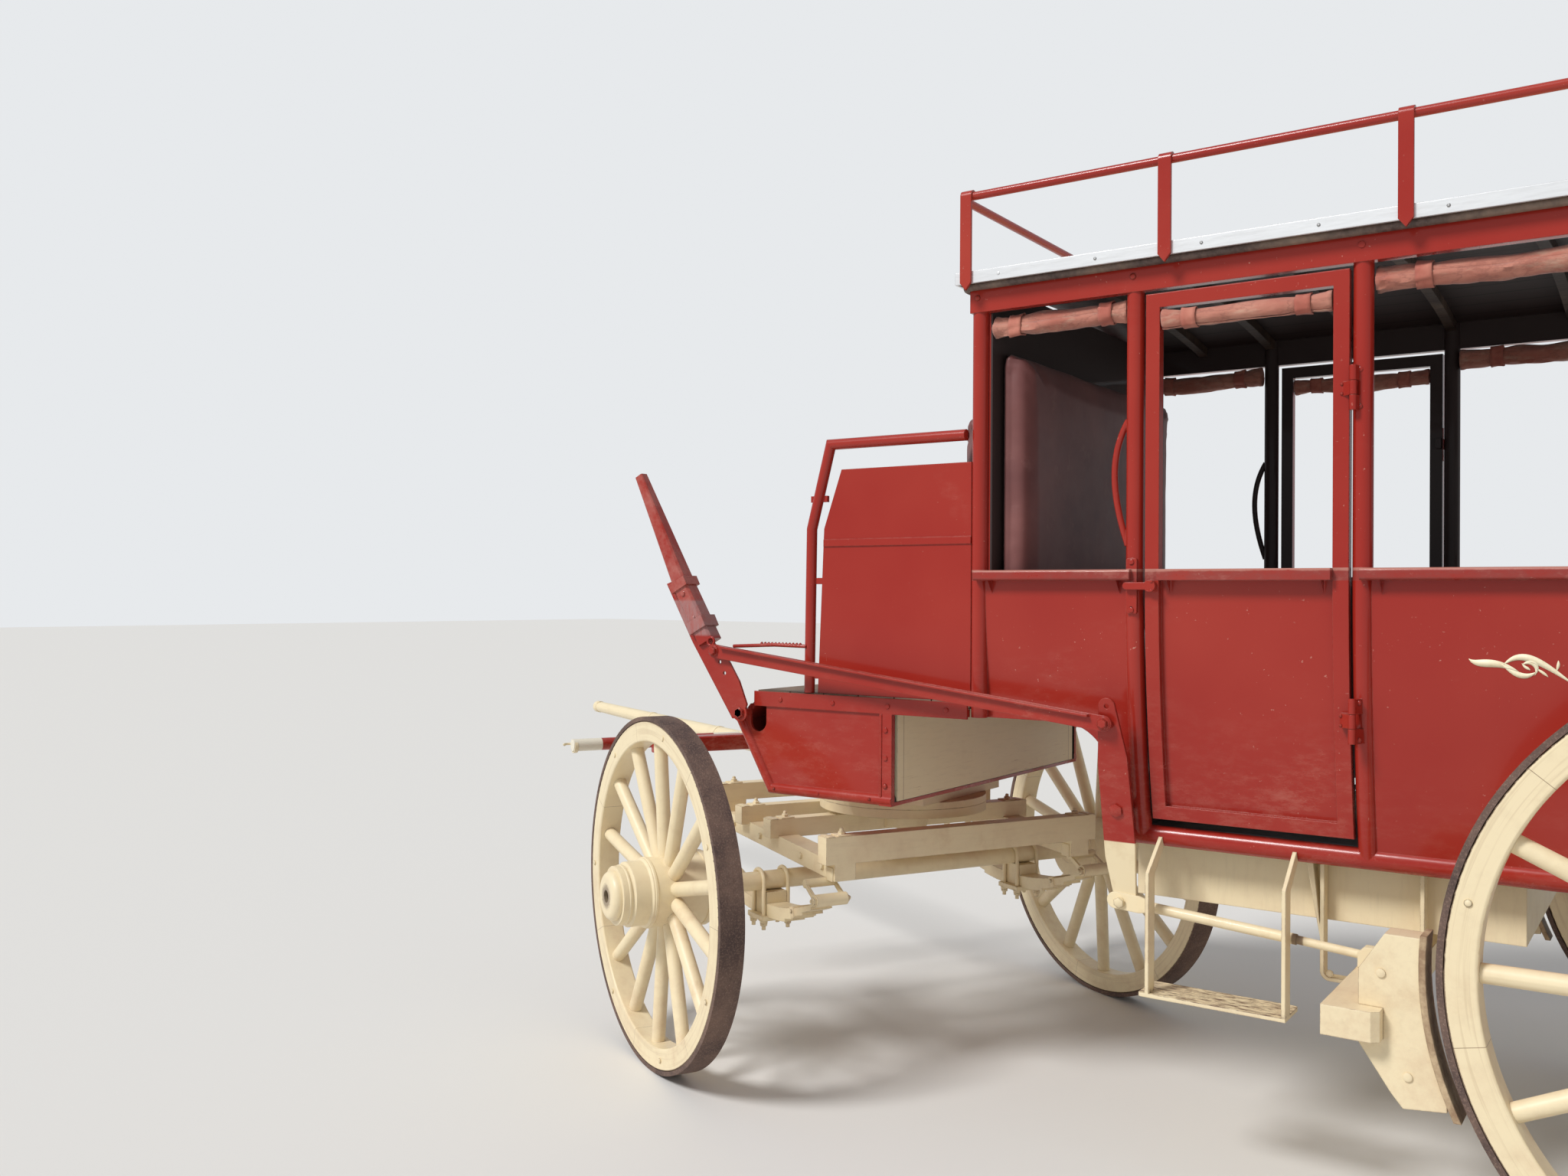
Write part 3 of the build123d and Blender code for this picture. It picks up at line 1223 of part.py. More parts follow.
with BuildPart() as brake_rods:
    with BuildSketch(side_plane(PULL_Y)):
        with BuildLine():
            Polyline(
                (LEVER_X + PULL_START, PULL_RISE + PULL_HEIGHT / 2),
                (LEVER_X + PULL_START, PULL_RISE - PULL_HEIGHT / 2),
                (CRANK_X, PULL_END - PULL_HEIGHT / 2),
                (CRANK_X, PULL_END + PULL_HEIGHT / 2),
                close=True,
            )
        make_face()
        with Locations((LEVER_X + PULL_START, PULL_RISE), (CRANK_X, PULL_END)):
            Circle(PULL_HEIGHT / 2)
    extrude(amount=PLATE_THICK / 2, both=True)
    with BuildSketch(side_plane(PULL_Y)):
        with BuildLine():
            Polyline(
                (LEVER_X + PULL_START - 30, PULL_RISE + PULL_HEIGHT / 2 - 4),
                (LEVER_X + PULL_START - 30, PULL_RISE + PULL_HEIGHT / 2 - 11),
                (CRANK_X + 40, PULL_END + PULL_HEIGHT / 2 - 6),
                (CRANK_X + 40, PULL_END + PULL_HEIGHT / 2 + 1),
                close=True,
            )
        make_face()
    extrude(amount=-PLATE_THICK / 2 - PULL_FLANGE)
    for x, z, inner in (
        (LEVER_X + PULL_START, PULL_RISE, LEVER_Y + PLATE_THICK / 2 + FIT),
        (CRANK_X, PULL_END, CRANK_Y),
    ):
        with BuildSketch(side_plane(inner)):
            with Locations((x, z)):
                Circle(BOLT_HEAD)
        extrude(amount=inner - PULL_Y - PLATE_THICK / 2 - 8)
    with BuildSketch(CRANK_PLANE):
        with BuildLine():
            Polyline(
                (CRANK_X + 18, 48),
                (CRANK_X - 28, 48),
                (CRANK_X - 52, -92),
                (CRANK_X - 58, -340),
                (CRANK_X - 50, -485),
                (CRANK_X - 30, CRANK_FOOT[1] - 20),
                (CRANK_X + 10, CRANK_FOOT[1] - 20),
                (CRANK_X + 16, -477),
                (CRANK_X + 30, -382),
                (CRANK_X + 32, -119),
                close=True,
            )
        make_face()
        with Locations((CRANK_X - 5, 48)):
            Circle(23)
            Circle(7, mode=Mode.SUBTRACT)
    extrude(amount=PLATE_THICK / 2, both=True)
    pivot_z = PULL_END + CRANK_PIVOT[1] * cos(radians(CRANK_LEAN))
    pivot_y = CRANK_Y + CRANK_PIVOT[1] * sin(radians(CRANK_LEAN))
    with BuildSketch(side_plane(pivot_y + PLATE_THICK)):
        with Locations((CRANK_X + CRANK_PIVOT[0], pivot_z)):
            Circle(14)
    extrude(amount=pivot_y + PLATE_THICK - HALF_WIDTH + PANEL_SET_BACK + tumble(pivot_z + 14) - FIT)
    with BuildSketch(side_plane(ROD_Y)):
        with BuildLine():
            Polyline(
                (CRANK_X + 8, CRANK_FOOT_Z + ROD_HEIGHT / 2),
                (CRANK_X + 8, CRANK_FOOT_Z - ROD_HEIGHT / 2),
                (CRANK_X - 60, CRANK_FOOT_Z - ROD_HEIGHT / 2 - 4),
                (CRANK_X - 100, CRANK_FOOT_Z - ROD_RADIUS - 6),
                (CRANK_X - 100, CRANK_FOOT_Z + ROD_RADIUS - 6),
                (CRANK_X - 60, CRANK_FOOT_Z + ROD_HEIGHT / 2 - 4),
                close=True,
            )
        make_face()
        with Locations((CRANK_X + 8, CRANK_FOOT_Z)):
            Circle(ROD_HEIGHT / 2)
    extrude(amount=PLATE_THICK / 2, both=True)
    with BuildSketch(side_plane(ROD_Y - PLATE_THICK)):
        with Locations((CRANK_X + CRANK_FOOT[0], CRANK_FOOT_Z)):
            Circle(BOLT_HEAD)
    extrude(amount=-2 * PLATE_THICK - 4)
    rod_ends = [
        Vector(CRANK_X - 85, ROD_Y, CRANK_FOOT_Z - 6),
        Vector(BEAM_X + 205, ROD_Y, BEAM_TOP + 42),
        Vector(BEAM_X + 40, ROD_Y, BEAM_TOP + 28),
    ]
    for (start, stop), size in zip(zip(rod_ends, rod_ends[1:]), (ROD_RADIUS, ROD_END_RADIUS)):
        with BuildSketch(Plane(origin=start, z_dir=stop - start)):
            Circle(size)
        extrude(amount=(stop - start).length)
    with BuildSketch(side_plane(ROD_Y)):
        with Locations((BEAM_X + 30, BEAM_TOP)):
            Rectangle(56, 52, align=(Align.CENTER, Align.MIN))
        chamfer(vertices().group_by(Axis.Y)[-1], length=16)
    extrude(amount=ROD_RADIUS, both=True)
save(brake_rods.part, "brake_rods")

with BuildPart() as brake_beam:
    with BuildSketch(side_plane(0)):
        with Locations((BEAM_X, BEAM_Z)):
            Rectangle(*BEAM_SIZE)
    extrude(amount=HALF_TRACK + TYRE_WIDTH / 2 + BEAM_OUT, both=True)
    chamfer(edges().filter_by(Axis.Z).group_by(Axis.X)[0], length=16)
    for side, sign in SIDES:
        with BuildSketch(side_plane(sign * HANGER_Y)):
            span = HANGER_SPAN[1] - HANGER_SPAN[0]
            middle = (HANGER_SPAN[0] + HANGER_SPAN[1]) / 2
            height = HANGER_TOP - HANGER_BOTTOM + 100
            with Locations((middle, HANGER_BOTTOM)):
                RectangleRounded(span, height, 24, align=(Align.CENTER, Align.MIN))
            with Locations((middle, HANGER_BOTTOM + HANGER_THICK)):
                RectangleRounded(
                    span - 2 * HANGER_THICK, height, 14, align=(Align.CENTER, Align.MIN), mode=Mode.SUBTRACT
                )
            with Locations((middle, HANGER_TOP)):
                Rectangle(span + 10, 200, align=(Align.CENTER, Align.MIN), mode=Mode.SUBTRACT)
            with BuildLine():
                Polyline(
                    (HANGER_SPAN[1] + 40, HANGER_TOP),
                    (HANGER_SPAN[1] - 2, HANGER_BOTTOM + 100),
                    (HANGER_SPAN[1] - 2, HANGER_BOTTOM + 120),
                    (HANGER_SPAN[1] + 20, HANGER_TOP),
                    close=True,
                )
            make_face()
        extrude(amount=HANGER_WIDTH / 2, both=True)
save(brake_beam.part, "brake_beam")

with BuildPart() as brake_blocks:
    for side, sign in SIDES:
        with BuildSketch(side_plane(sign * HALF_TRACK)):
            with BuildLine():
                Polyline(
                    (BEAM_X - 9, BLOCK_TOP - 84),
                    (BEAM_X - 63, BLOCK_TOP),
                    (BLOCK_BACK, BLOCK_TOP),
                    (BLOCK_BACK, BLOCK_BOTTOM + 10),
                    (BEAM_X - 102, BLOCK_BOTTOM),
                    (BEAM_X - 77, BLOCK_BOTTOM + 30),
                    (BEAM_X - 9, BEAM_Z - BEAM_SIZE[1] / 2 - 15),
                    close=True,
                )
            make_face()
            with Locations((BEAM_X, BEAM_Z)):
                Rectangle(BEAM_SIZE[0] + 2 * FIT, BEAM_SIZE[1] + 2 * FIT, mode=Mode.SUBTRACT)
            with Locations((0, REAR_Z)):
                Circle(REAR_RADIUS + BLOCK_GAP, mode=Mode.SUBTRACT)
        extrude(amount=BLOCK_WIDTH / 2, both=True)
        with BuildSketch(side_plane(sign * HALF_TRACK)):
            with Locations((0, REAR_Z)):
                Circle(REAR_RADIUS + BLOCK_GAP + LINING_THICK)
                Circle(REAR_RADIUS + BLOCK_GAP, mode=Mode.SUBTRACT)
            with Locations((BLOCK_BACK, (BLOCK_TOP + BLOCK_BOTTOM) / 2)):
                Rectangle(160, BLOCK_TOP - BLOCK_BOTTOM + 14, mode=Mode.INTERSECT)
        extrude(amount=TYRE_WIDTH / 2, both=True)
save(brake_blocks.part, "brake_blocks")
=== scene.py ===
import itertools
import math

import bmesh
import bpy
from mathutils import Matrix, Vector, geometry, noise


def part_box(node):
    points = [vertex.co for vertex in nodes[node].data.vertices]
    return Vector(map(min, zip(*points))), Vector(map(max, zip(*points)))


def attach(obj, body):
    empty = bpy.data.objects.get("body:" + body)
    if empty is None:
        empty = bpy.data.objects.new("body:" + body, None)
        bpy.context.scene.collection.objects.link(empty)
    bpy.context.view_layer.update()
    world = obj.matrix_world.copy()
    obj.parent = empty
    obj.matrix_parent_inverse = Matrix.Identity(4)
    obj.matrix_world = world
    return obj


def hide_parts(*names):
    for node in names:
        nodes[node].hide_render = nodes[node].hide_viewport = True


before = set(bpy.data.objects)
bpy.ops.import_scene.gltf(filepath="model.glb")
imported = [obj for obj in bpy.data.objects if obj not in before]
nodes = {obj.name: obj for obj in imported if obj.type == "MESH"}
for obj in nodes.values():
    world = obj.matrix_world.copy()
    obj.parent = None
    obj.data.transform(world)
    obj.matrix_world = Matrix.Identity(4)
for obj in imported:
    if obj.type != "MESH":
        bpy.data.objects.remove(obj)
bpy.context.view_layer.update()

# Viewpoint, light and floor
# The camera stands left of the coach at eye height, as the photograph was taken.
# A wide soft sun and an even sky light a pale floor.

EYE = Vector((0.2518, 4.144, 1.55))
FOCAL_PIXELS = 1713.2
FRAME_PIXELS = 2048
HEADING, PITCH, ROLL = (math.radians(angle) for angle in (54.67, 0.3733, 0.3851))


def added(name, data):
    """Adds an object to the scene."""
    thing = bpy.data.objects.new(name, data)
    bpy.context.scene.collection.objects.link(thing)
    return thing


look = Vector((math.cos(HEADING) * math.cos(PITCH), -math.sin(HEADING) * math.cos(PITCH), math.sin(PITCH)))
level = Vector((-math.sin(HEADING), -math.cos(HEADING), 0))
upright = level.cross(look)
across = level * math.cos(ROLL) + upright * math.sin(ROLL)
above = upright * math.cos(ROLL) - level * math.sin(ROLL)
camera_data = bpy.data.cameras.new("viewpoint")
camera_data.sensor_width = 36
camera_data.lens = FOCAL_PIXELS * camera_data.sensor_width / FRAME_PIXELS
camera_data.clip_end = 100
camera = added("viewpoint", camera_data)
camera.matrix_world = Matrix.Translation(EYE) @ Matrix((across, above, -look)).transposed().to_4x4()
bpy.context.scene.camera = camera
bpy.context.scene.view_settings.view_transform = "Standard"

sun_data = bpy.data.lights.new("soft_sun", "SUN")
sun_data.energy = 2.5
sun_data.angle = math.radians(16)
sun = added("soft_sun", sun_data)
sun.rotation_euler = Vector((0.34, 0.72, 0.78)).to_track_quat("Z", "Y").to_euler()


class Tone:
    """A material's socket that can be reckoned with like a number."""

    def __init__(self, finish, socket):
        self.finish = finish
        self.socket = socket

    def maths(self, operation, *values):
        return self.finish.node("Math", {"operation": operation}, *values)

    def __add__(self, other):
        return self.maths("ADD", self, other)

    def __sub__(self, other):
        return self.maths("SUBTRACT", self, other)

    def __mul__(self, other):
        return self.maths("MULTIPLY", self, other)

    def __truediv__(self, other):
        return self.maths("DIVIDE", self, other)

    def __radd__(self, other):
        return self.maths("ADD", other, self)

    def __rsub__(self, other):
        return self.maths("SUBTRACT", other, self)

    def __rmul__(self, other):
        return self.maths("MULTIPLY", other, self)

    def __abs__(self):
        return self.maths("ABSOLUTE", self)

    def power(self, exponent):
        return self.maths("POWER", self, exponent)

    def most(self, other):
        return self.maths("MAXIMUM", self, other)

    def over(self, low, high):
        """0 below low, 1 above high and a straight rise between them."""
        return self.finish.node("MapRange", {"clamp": True}, self, low, high, 0.0, 1.0)

    def between(self, low, high, soft=0.0004):
        """1 between two levels and 0 outside them."""
        return self.over(low - soft, low + soft) * (1 - self.over(high - soft, high + soft))

    def line(self, pitch, half):
        """1 on thin lines that come once in every pitch."""
        share = half / pitch
        return self.maths("FRACT", self / pitch).between(0.5 - share, 0.5 + share, 0.1 * share)


class Finish:
    """A material that is written as nodes on Object coordinates."""

    def __init__(self, name, **shader_values):
        self.material = bpy.data.materials.new(name)
        self.material.use_nodes = True
        self.tree = self.material.node_tree
        self.shader = self.tree.nodes["Principled BSDF"]
        for socket, value in shader_values.items():
            self.shader.inputs[socket.replace("_", " ")].default_value = value
        self.place = self.node("TexCoord", {}, output="Object")
        self.x, self.y, self.z = self.parts(self.place)

    def feed(self, socket, value):
        if isinstance(value, Tone):
            self.tree.links.new(value.socket, socket)
        elif isinstance(value, tuple) and socket.type == "RGBA":
            socket.default_value = (*value, 1)
        else:
            socket.default_value = value

    def node(self, kind, settings, *values, output=0, **named):
        """Adds a node, applies its settings, then gives its sockets their values or links."""
        node = self.tree.nodes.new("ShaderNode" + kind)
        for key, setting in settings.items():
            setattr(node, key, setting)
        for socket, value in zip(node.inputs, values):
            self.feed(socket, value)
        for key, value in named.items():
            self.feed(node.inputs[key.replace("_", " ")], value)
        return Tone(self, node.outputs[output])

    def parts(self, vector):
        """The three numbers of a vector."""
        split = self.tree.nodes.new("ShaderNodeSeparateXYZ")
        self.feed(split.inputs[0], vector)
        return (Tone(self, socket) for socket in split.outputs)

    def seen_from(self, centre, turn):
        """Coordinates about a centre, in directions turned round the upright axis."""
        settings = {"vector_type": "TEXTURE"}
        return self.parts(self.node("Mapping", settings, self.place, Location=centre, Rotation=(0, 0, turn)))

    def mix(self, share, base, top):
        """Colour base where share is 0, top where it is 1."""
        node = self.tree.nodes.new("ShaderNodeMix")
        node.data_type = "RGBA"
        for i, value in ((0, share), (6, base), (7, top)):
            self.feed(node.inputs[i], value)
        return Tone(self, node.outputs[2])

    def noise(self, scale, detail=4.0, rough=0.55, stretch=None, place=None):
        place = place or self.place
        if stretch:
            place = self.node("Mapping", {}, place, Scale=stretch)
        return self.node("TexNoise", {}, Vector=place, Scale=scale, Detail=detail, Roughness=rough)

    def bump(self, height, strength, distance, **named):
        return self.node("Bump", {}, Strength=strength, Distance=distance, Height=height, **named)

    def set(self, **sockets):
        for socket, value in sockets.items():
            self.feed(self.shader.inputs[socket.replace("_", " ")], value)
        return self

    def cover(self, mask, colour, rough=None):
        """Lays a colour, and where given a roughness, over the finish where the mask is 1."""
        painted = Tone(self, self.shader.inputs["Base Color"].links[0].from_socket)
        self.set(Base_Color=self.mix(mask, painted, colour))
        if rough is not None:
            was = Tone(self, self.shader.inputs["Roughness"].links[0].from_socket)
            self.set(Roughness=was + (rough - was) * mask)
        return self

    def coat(self, *names):
        """Puts this finish on the named solids of the frame."""
        for name in names:
            mesh = nodes[name].data
            mesh.materials.clear()
            mesh.materials.append(self.material)


floor_form = bmesh.new()
bmesh.ops.create_grid(floor_form, x_segments=1, y_segments=1, size=60)
floor_mesh = bpy.data.meshes.new("floor_sheet")
floor_form.to_mesh(floor_mesh)
floor_form.free()
added("floor_sheet", floor_mesh)
pale = Finish("pale_floor", Roughness=0.9, Specular_IOR_Level=0.1)
pale.set(Base_Color=(0.74, 0.72, 0.69))
floor_mesh.materials.append(pale.material)

world = bpy.data.worlds.new("even_sky")
bpy.context.scene.world = world
world.use_nodes = True
sky = world.node_tree
sky_light = sky.nodes["Background"]
sky_light.inputs[0].default_value = (0.93, 0.965, 1.0, 1)
sky_light.inputs[1].default_value = 0.5
sky_seen = sky.nodes.new("ShaderNodeBackground")
sky_seen.inputs[0].default_value = (0.80, 0.82, 0.84, 1)
sky_ray = sky.nodes.new("ShaderNodeLightPath")
sky_choice = sky.nodes.new("ShaderNodeMixShader")
sky.links.new(sky_ray.outputs["Is Camera Ray"], sky_choice.inputs[0])
sky.links.new(sky_light.outputs[0], sky_choice.inputs[1])
sky.links.new(sky_seen.outputs[0], sky_choice.inputs[2])
sky.links.new(sky_choice.outputs[0], sky.nodes["World Output"].inputs[0])

# Wheels
# Turned hubs, round spokes and felloes bent from thin laths of ash, brushed cream all over.
# Iron bands hold each hub, coach bolts hold the felloe, and the rim is rubbed bare beside the tyre.

WHEELBASE = 2.655
HALF_TRACK = 0.945
FRONT_RADIUS = 0.575
REAR_RADIUS = 0.745
REST_TURN = math.radians(-27.5)
TYRE_THICK = 0.0143
FELLOE = 0.068
CAP_HOLE = 0.020
BOTH = (1, -1)
SIDES = (("left", 1), ("right", -1))
CREAM = (0.83, 0.70, 0.46)
CREAM_STAINED = (0.60, 0.43, 0.24)
DUST = (0.50, 0.27, 0.155)
BARE_WOOD = (0.30, 0.19, 0.11)
carriage = Matrix.Translation((WHEELBASE, 0, 0)) @ Matrix.Rotation(REST_TURN, 4, "Z")
coach = Matrix.Identity(4)
SPOKES = 14
SPOKE_PITCH = math.tau / SPOKES
# End, radius, first spoke as a share of the pitch, place, turn
WHEEL_KINDS = (("front", FRONT_RADIUS, 0.5, carriage, REST_TURN), ("rear", REAR_RADIUS, 0, coach, 0))


def worn_edges(finish, radius):
    """A normal rounded at sharp edges, and how far it bends there."""
    rounded = finish.node("Bevel", {"samples": 4}, radius)
    flat = finish.node("NewGeometry", {}, output="Normal")
    bend = finish.node("VectorMath", {"operation": "DOT_PRODUCT"}, rounded, flat, output="Value")
    return rounded, 1 - bend


def brushed_cream(name, dust=0.5, chips=0.5, grain=(1.0, 1.0, 1.0), under=BARE_WOOD):
    """Cream brushed on thick: stained in patches, dusty low down, chipped at the edges."""
    finish = Finish(name, Coat_Weight=0.1, Coat_Roughness=0.25)
    broad = finish.noise(2.3)
    fine = finish.noise(60.0, 5.0, 0.7)
    brush = finish.noise(26.0, 5.0, 0.6, stretch=grain)
    blotch = finish.noise(9.0, 6.0, 0.7)
    rounded, bend = worn_edges(finish, 0.004)
    worn = (bend * 2.6 * blotch.over(0.46, 0.62)).over(0.12, 0.42) * chips
    specks = finish.noise(85.0, 4.0, 0.8).over(0.70, 0.74) * blotch.over(0.5, 0.6)
    stain = blotch.over(0.52, 0.8) * broad.over(0.38, 0.65)
    dusty = (1 - finish.z.over(0.1, 0.95)) * blotch.over(0.42, 0.75) * dust
    base = finish.mix(stain * 0.55, CREAM, CREAM_STAINED)
    aged = finish.mix(brush.over(0.5, 0.75) * 0.16, base, (0.50, 0.38, 0.24))
    chipped = finish.mix((worn + specks * chips * 0.7).over(0, 1), aged, under)
    return finish.set(
        Base_Color=finish.mix(dusty, chipped, DUST),
        Roughness=0.38 + fine * 0.14 + dusty * 0.25,
        Normal=finish.bump(brush + fine * 0.3 - worn * 0.8, 0.22, 0.0012, Normal=rounded),
    )


def shaped(form, known, place):
    """Moves what was added to a form since the known points to its place."""
    fresh = [v for v in form.verts if v not in known]
    bmesh.ops.transform(form, matrix=place, verts=fresh)
    return fresh


def moved(place, x, y, z):
    """A place shifted along its own axes."""
    return place @ Matrix.Translation((x, y, z))


def ring(form, place, inner, outer, width, steps=48):
    """Turns a flat hoop with eased edges about the place's Z axis, standing on its XY plane."""
    ease = min(outer - inner, width) / 4
    outline = (
        (inner, 0), (outer - ease, 0), (outer, ease),
        (outer, width - ease), (outer - ease, width), (inner, width),
    )
    known = set(form.verts)
    points = [form.verts.new((out, 0, along)) for out, along in outline]
    edges = [form.edges.new(pair) for pair in zip(points, points[1:] + points[:1])]
    bmesh.ops.spin(
        form, geom=points + edges, cent=(0, 0, 0), axis=(0, 0, 1), dvec=(0, 0, 0), angle=math.tau,
        steps=steps, use_merge=True,
    )
    shaped(form, known, place)


def stud(form, place, radius, height, sides=6):
    """A bolt head or nut with a chamfered top, standing on the place's XY plane."""
    for start, depth, tip in ((0, 0.7, 1), (0.7, 0.3, 0.72)):
        bmesh.ops.create_cone(
            form, cap_ends=True, segments=sides, radius1=radius, radius2=radius * tip, depth=height * depth,
            matrix=moved(place, 0, 0, height * (start + depth / 2)),
        )


def facing(place, x, y, z, sign):
    """A place whose Z axis points out of the left (1) or right (-1) side."""
    return moved(place, x, y, z) @ Matrix.Rotation(-sign * math.pi / 2, 4, "X")


def made(form, name, body, finish, crease=35):
    """Closes a form into a named piece of the coach, riding on a body."""
    bmesh.ops.remove_doubles(form, verts=form.verts, dist=0.00002)
    bmesh.ops.recalc_face_normals(form, faces=form.faces)
    mesh = bpy.data.meshes.new(name)
    form.to_mesh(mesh)
    form.free()
    mesh.shade_smooth()
    mesh.set_sharp_from_angle(angle=math.radians(crease))
    mesh.materials.append(finish.material)
    thing = added(name, mesh)
    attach(thing, body)
    return thing


iron_cream = brushed_cream("cream_over_iron", chips=0.75, under=(0.13, 0.07, 0.045))
FELLOE_BOLT = 0.046
FELLOE_FACE = 0.0398
# Start along the hub, radius, width
HUB_BANDS = ((-0.150, 0.1215, 0.020), (0.044, 0.1128, 0.012), (0.128, 0.0948, 0.010))
for end, radius, first_spoke, base, turn in WHEEL_KINDS:
    joint = (first_spoke - 0.5) * SPOKE_PITCH
    for side, sign in SIDES:
        centre = base @ Vector((0, sign * HALF_TRACK, radius))
        wheel_cream = brushed_cream(f"wheel_cream_{end}_{side}", dust=0.35)
        along, outward, up = wheel_cream.seen_from(centre, turn)
        reach = (along * along + up * up).power(0.5)
        angle = up.maths("ARCTAN2", up, along)
        felloe = reach.over(radius - TYRE_THICK - FELLOE - 0.001, radius - TYRE_THICK - FELLOE)
        polar = wheel_cream.node("CombineXYZ", {}, reach * 95, angle * 1.6, outward * 4)
        laths = wheel_cream.noise(1.0, 3.0, 0.6, place=polar)
        grit = wheel_cream.noise(120.0, 5.0, 0.75)
        wheel_cream.cover(laths.over(0.52, 0.62) * felloe * 0.35, (0.58, 0.44, 0.27))
        joints = (angle + sign * joint).line(2 * SPOKE_PITCH, 0.0011) * felloe
        wheel_cream.cover(joints * 0.8, (0.20, 0.12, 0.07))
        rubbed = reach.over(radius - TYRE_THICK - 0.0075, radius - TYRE_THICK - 0.002)
        wheel_cream.cover((rubbed * 1.5 + grit - 1).over(0.3, 0.6) * 0.85, (0.15, 0.085, 0.055), 0.75)
        greasy = 1 - reach.over(0.022, 0.060)
        wheel_cream.cover((greasy + grit * 0.7).over(0.75, 1.15) * 0.7, (0.12, 0.065, 0.04))
        # Painted shade: the cap hole in the hub is painted near black.
        wheel_cream.cover(1 - reach.over(CAP_HOLE - 0.001, CAP_HOLE + 0.0005), (0.012, 0.010, 0.009), 0.8)
        wheel_cream.coat(f"wheel_{end}_{side}")
        form = bmesh.new()
        hub = facing(base, 0, sign * HALF_TRACK, radius, sign)
        for start, out, width in HUB_BANDS:
            ring(form, moved(hub, 0, 0, start), out - 0.006, out + 0.0028, width)
        for i in range(0, SPOKES, 2):
            turned = hub @ Matrix.Rotation(joint + i * SPOKE_PITCH, 4, "Z")
            stud(form, moved(turned, radius - FELLOE_BOLT, 0, FELLOE_FACE), 0.0085, 0.0045, 16)
        made(form, f"hub_bands_{end}_{side}", f"{end}_wheel_{side}", iron_cream)

# Tyres
# A thick dark rubber tread is glued round each felloe. It is pitted, scuffed and full of road dust.

tread = Finish("tread_rubber", Specular_IOR_Level=0.25)
pits = tread.noise(190.0, 4.0, 0.8)
patches = tread.noise(7.0, 5.0, 0.65)
stones = tread.node("TexVoronoi", {}, Vector=tread.place, Scale=150.0)
rubber = tread.mix(patches.over(0.35, 0.7), (0.085, 0.058, 0.052), (0.20, 0.130, 0.100))
gritty = tread.mix(pits.over(0.50, 0.72) * 0.6, rubber, (0.38, 0.25, 0.19))
stony = (1 - stones.over(0.05, 0.16)) * patches.over(0.48, 0.6) * 0.6
tread.set(
    Base_Color=tread.mix(stony, gritty, (0.58, 0.46, 0.38)),
    Roughness=0.82 + pits * 0.12,
    Normal=tread.bump(pits + stones * 0.6, 0.6, 0.0015),
)
tread.coat("tyre_front_left", "tyre_front_right", "tyre_rear_left", "tyre_rear_right")

# Axles and springs
# Iron tubes and leaf packs under the same cream, worn through to rust at the edges.
# Lock nuts and washers stand on the clip bolts, rebound clips hold the leaves, and pins end in nuts.

FRONT_SPRING_Y = 0.533
REAR_SPRING_Y = 0.550
LEAF_WIDTH = 0.076
CLIP_Y = LEAF_WIDTH / 2 + 0.008
CLIP_X = 0.0393
SPRING_REACH = 0.420
SPRING_SAG = 0.090
PIN_END = LEAF_WIDTH / 2 + 0.018
REBOUND_X = 0.235
REBOUND_LEAN = 0.231
SPRING_BELOW_AXLE = 0.117
SPRING_EYE = 0.045
CLIP_NUT = 0.0205
CLIP_WASHER = 0.0102
UPSIDE_DOWN = Matrix.Rotation(math.pi, 4, "X")
iron_cream.coat("front_axle", "rear_axle", "front_springs", "rear_springs")
iron_cream.coat("turntable_lower", "turntable_upper")


def plate(form, place, size, edge=0.002):
    """A squared bar or plate with its edges eased, centred on its place."""
    known = set(form.verts)
    bmesh.ops.create_cube(form, size=1, matrix=Matrix.Diagonal((*size, 1)))
    fresh = [e for e in form.edges if e.verts[0] not in known]
    bmesh.ops.bevel(form, geom=fresh, offset=edge, affect="EDGES", segments=2, profile=0.5, material=-1)
    shaped(form, known, place)


for end, spring_y, radius, base, body in (
    ("front", FRONT_SPRING_Y, FRONT_RADIUS, carriage, "fore_carriage"),
    ("rear", REAR_SPRING_Y, REAR_RADIUS, coach, "coach_body"),
):
    form = bmesh.new()
    under = radius - SPRING_BELOW_AXLE
    for middle in (spring_y, -spring_y):
        for y, x in itertools.product((middle - CLIP_Y, middle + CLIP_Y), (-CLIP_X, CLIP_X)):
            stud(form, moved(base, x, y, under - CLIP_NUT) @ UPSIDE_DOWN, 0.0132, 0.009)
            ring(form, moved(base, x, y, under - CLIP_WASHER), 0.008, 0.0172, 0.002, 20)
        for x, face in itertools.product((-SPRING_REACH, SPRING_REACH), BOTH):
            pin = facing(base, x, middle + face * PIN_END, under + SPRING_EYE + SPRING_SAG, face)
            stud(form, pin, 0.0145, 0.009)
            stud(form, moved(pin, 0, 0, 0.009), 0.0070, 0.007, 12)
        for x in (-REBOUND_X, REBOUND_X):
            tilt = Matrix.Rotation(math.copysign(REBOUND_LEAN, -x), 4, "Y")
            clip = moved(base, x, middle, under + 0.0585) @ tilt
            plate(form, clip, (0.024, LEAF_WIDTH + 0.008, 0.038))
            for face in BOTH:
                stud(form, facing(clip, 0, face * (LEAF_WIDTH / 2 + 0.004), 0.004, face), 0.0065, 0.004, 12)
    made(form, f"spring_clips_{end}", body, iron_cream)

# Fore-carriage timbers
# Squared ash bars are lapped and bolted on two sloping hounds, with square washers under the nuts.
# Iron straps fold over the lap of each bar, and bolts go through the hounds' sides.

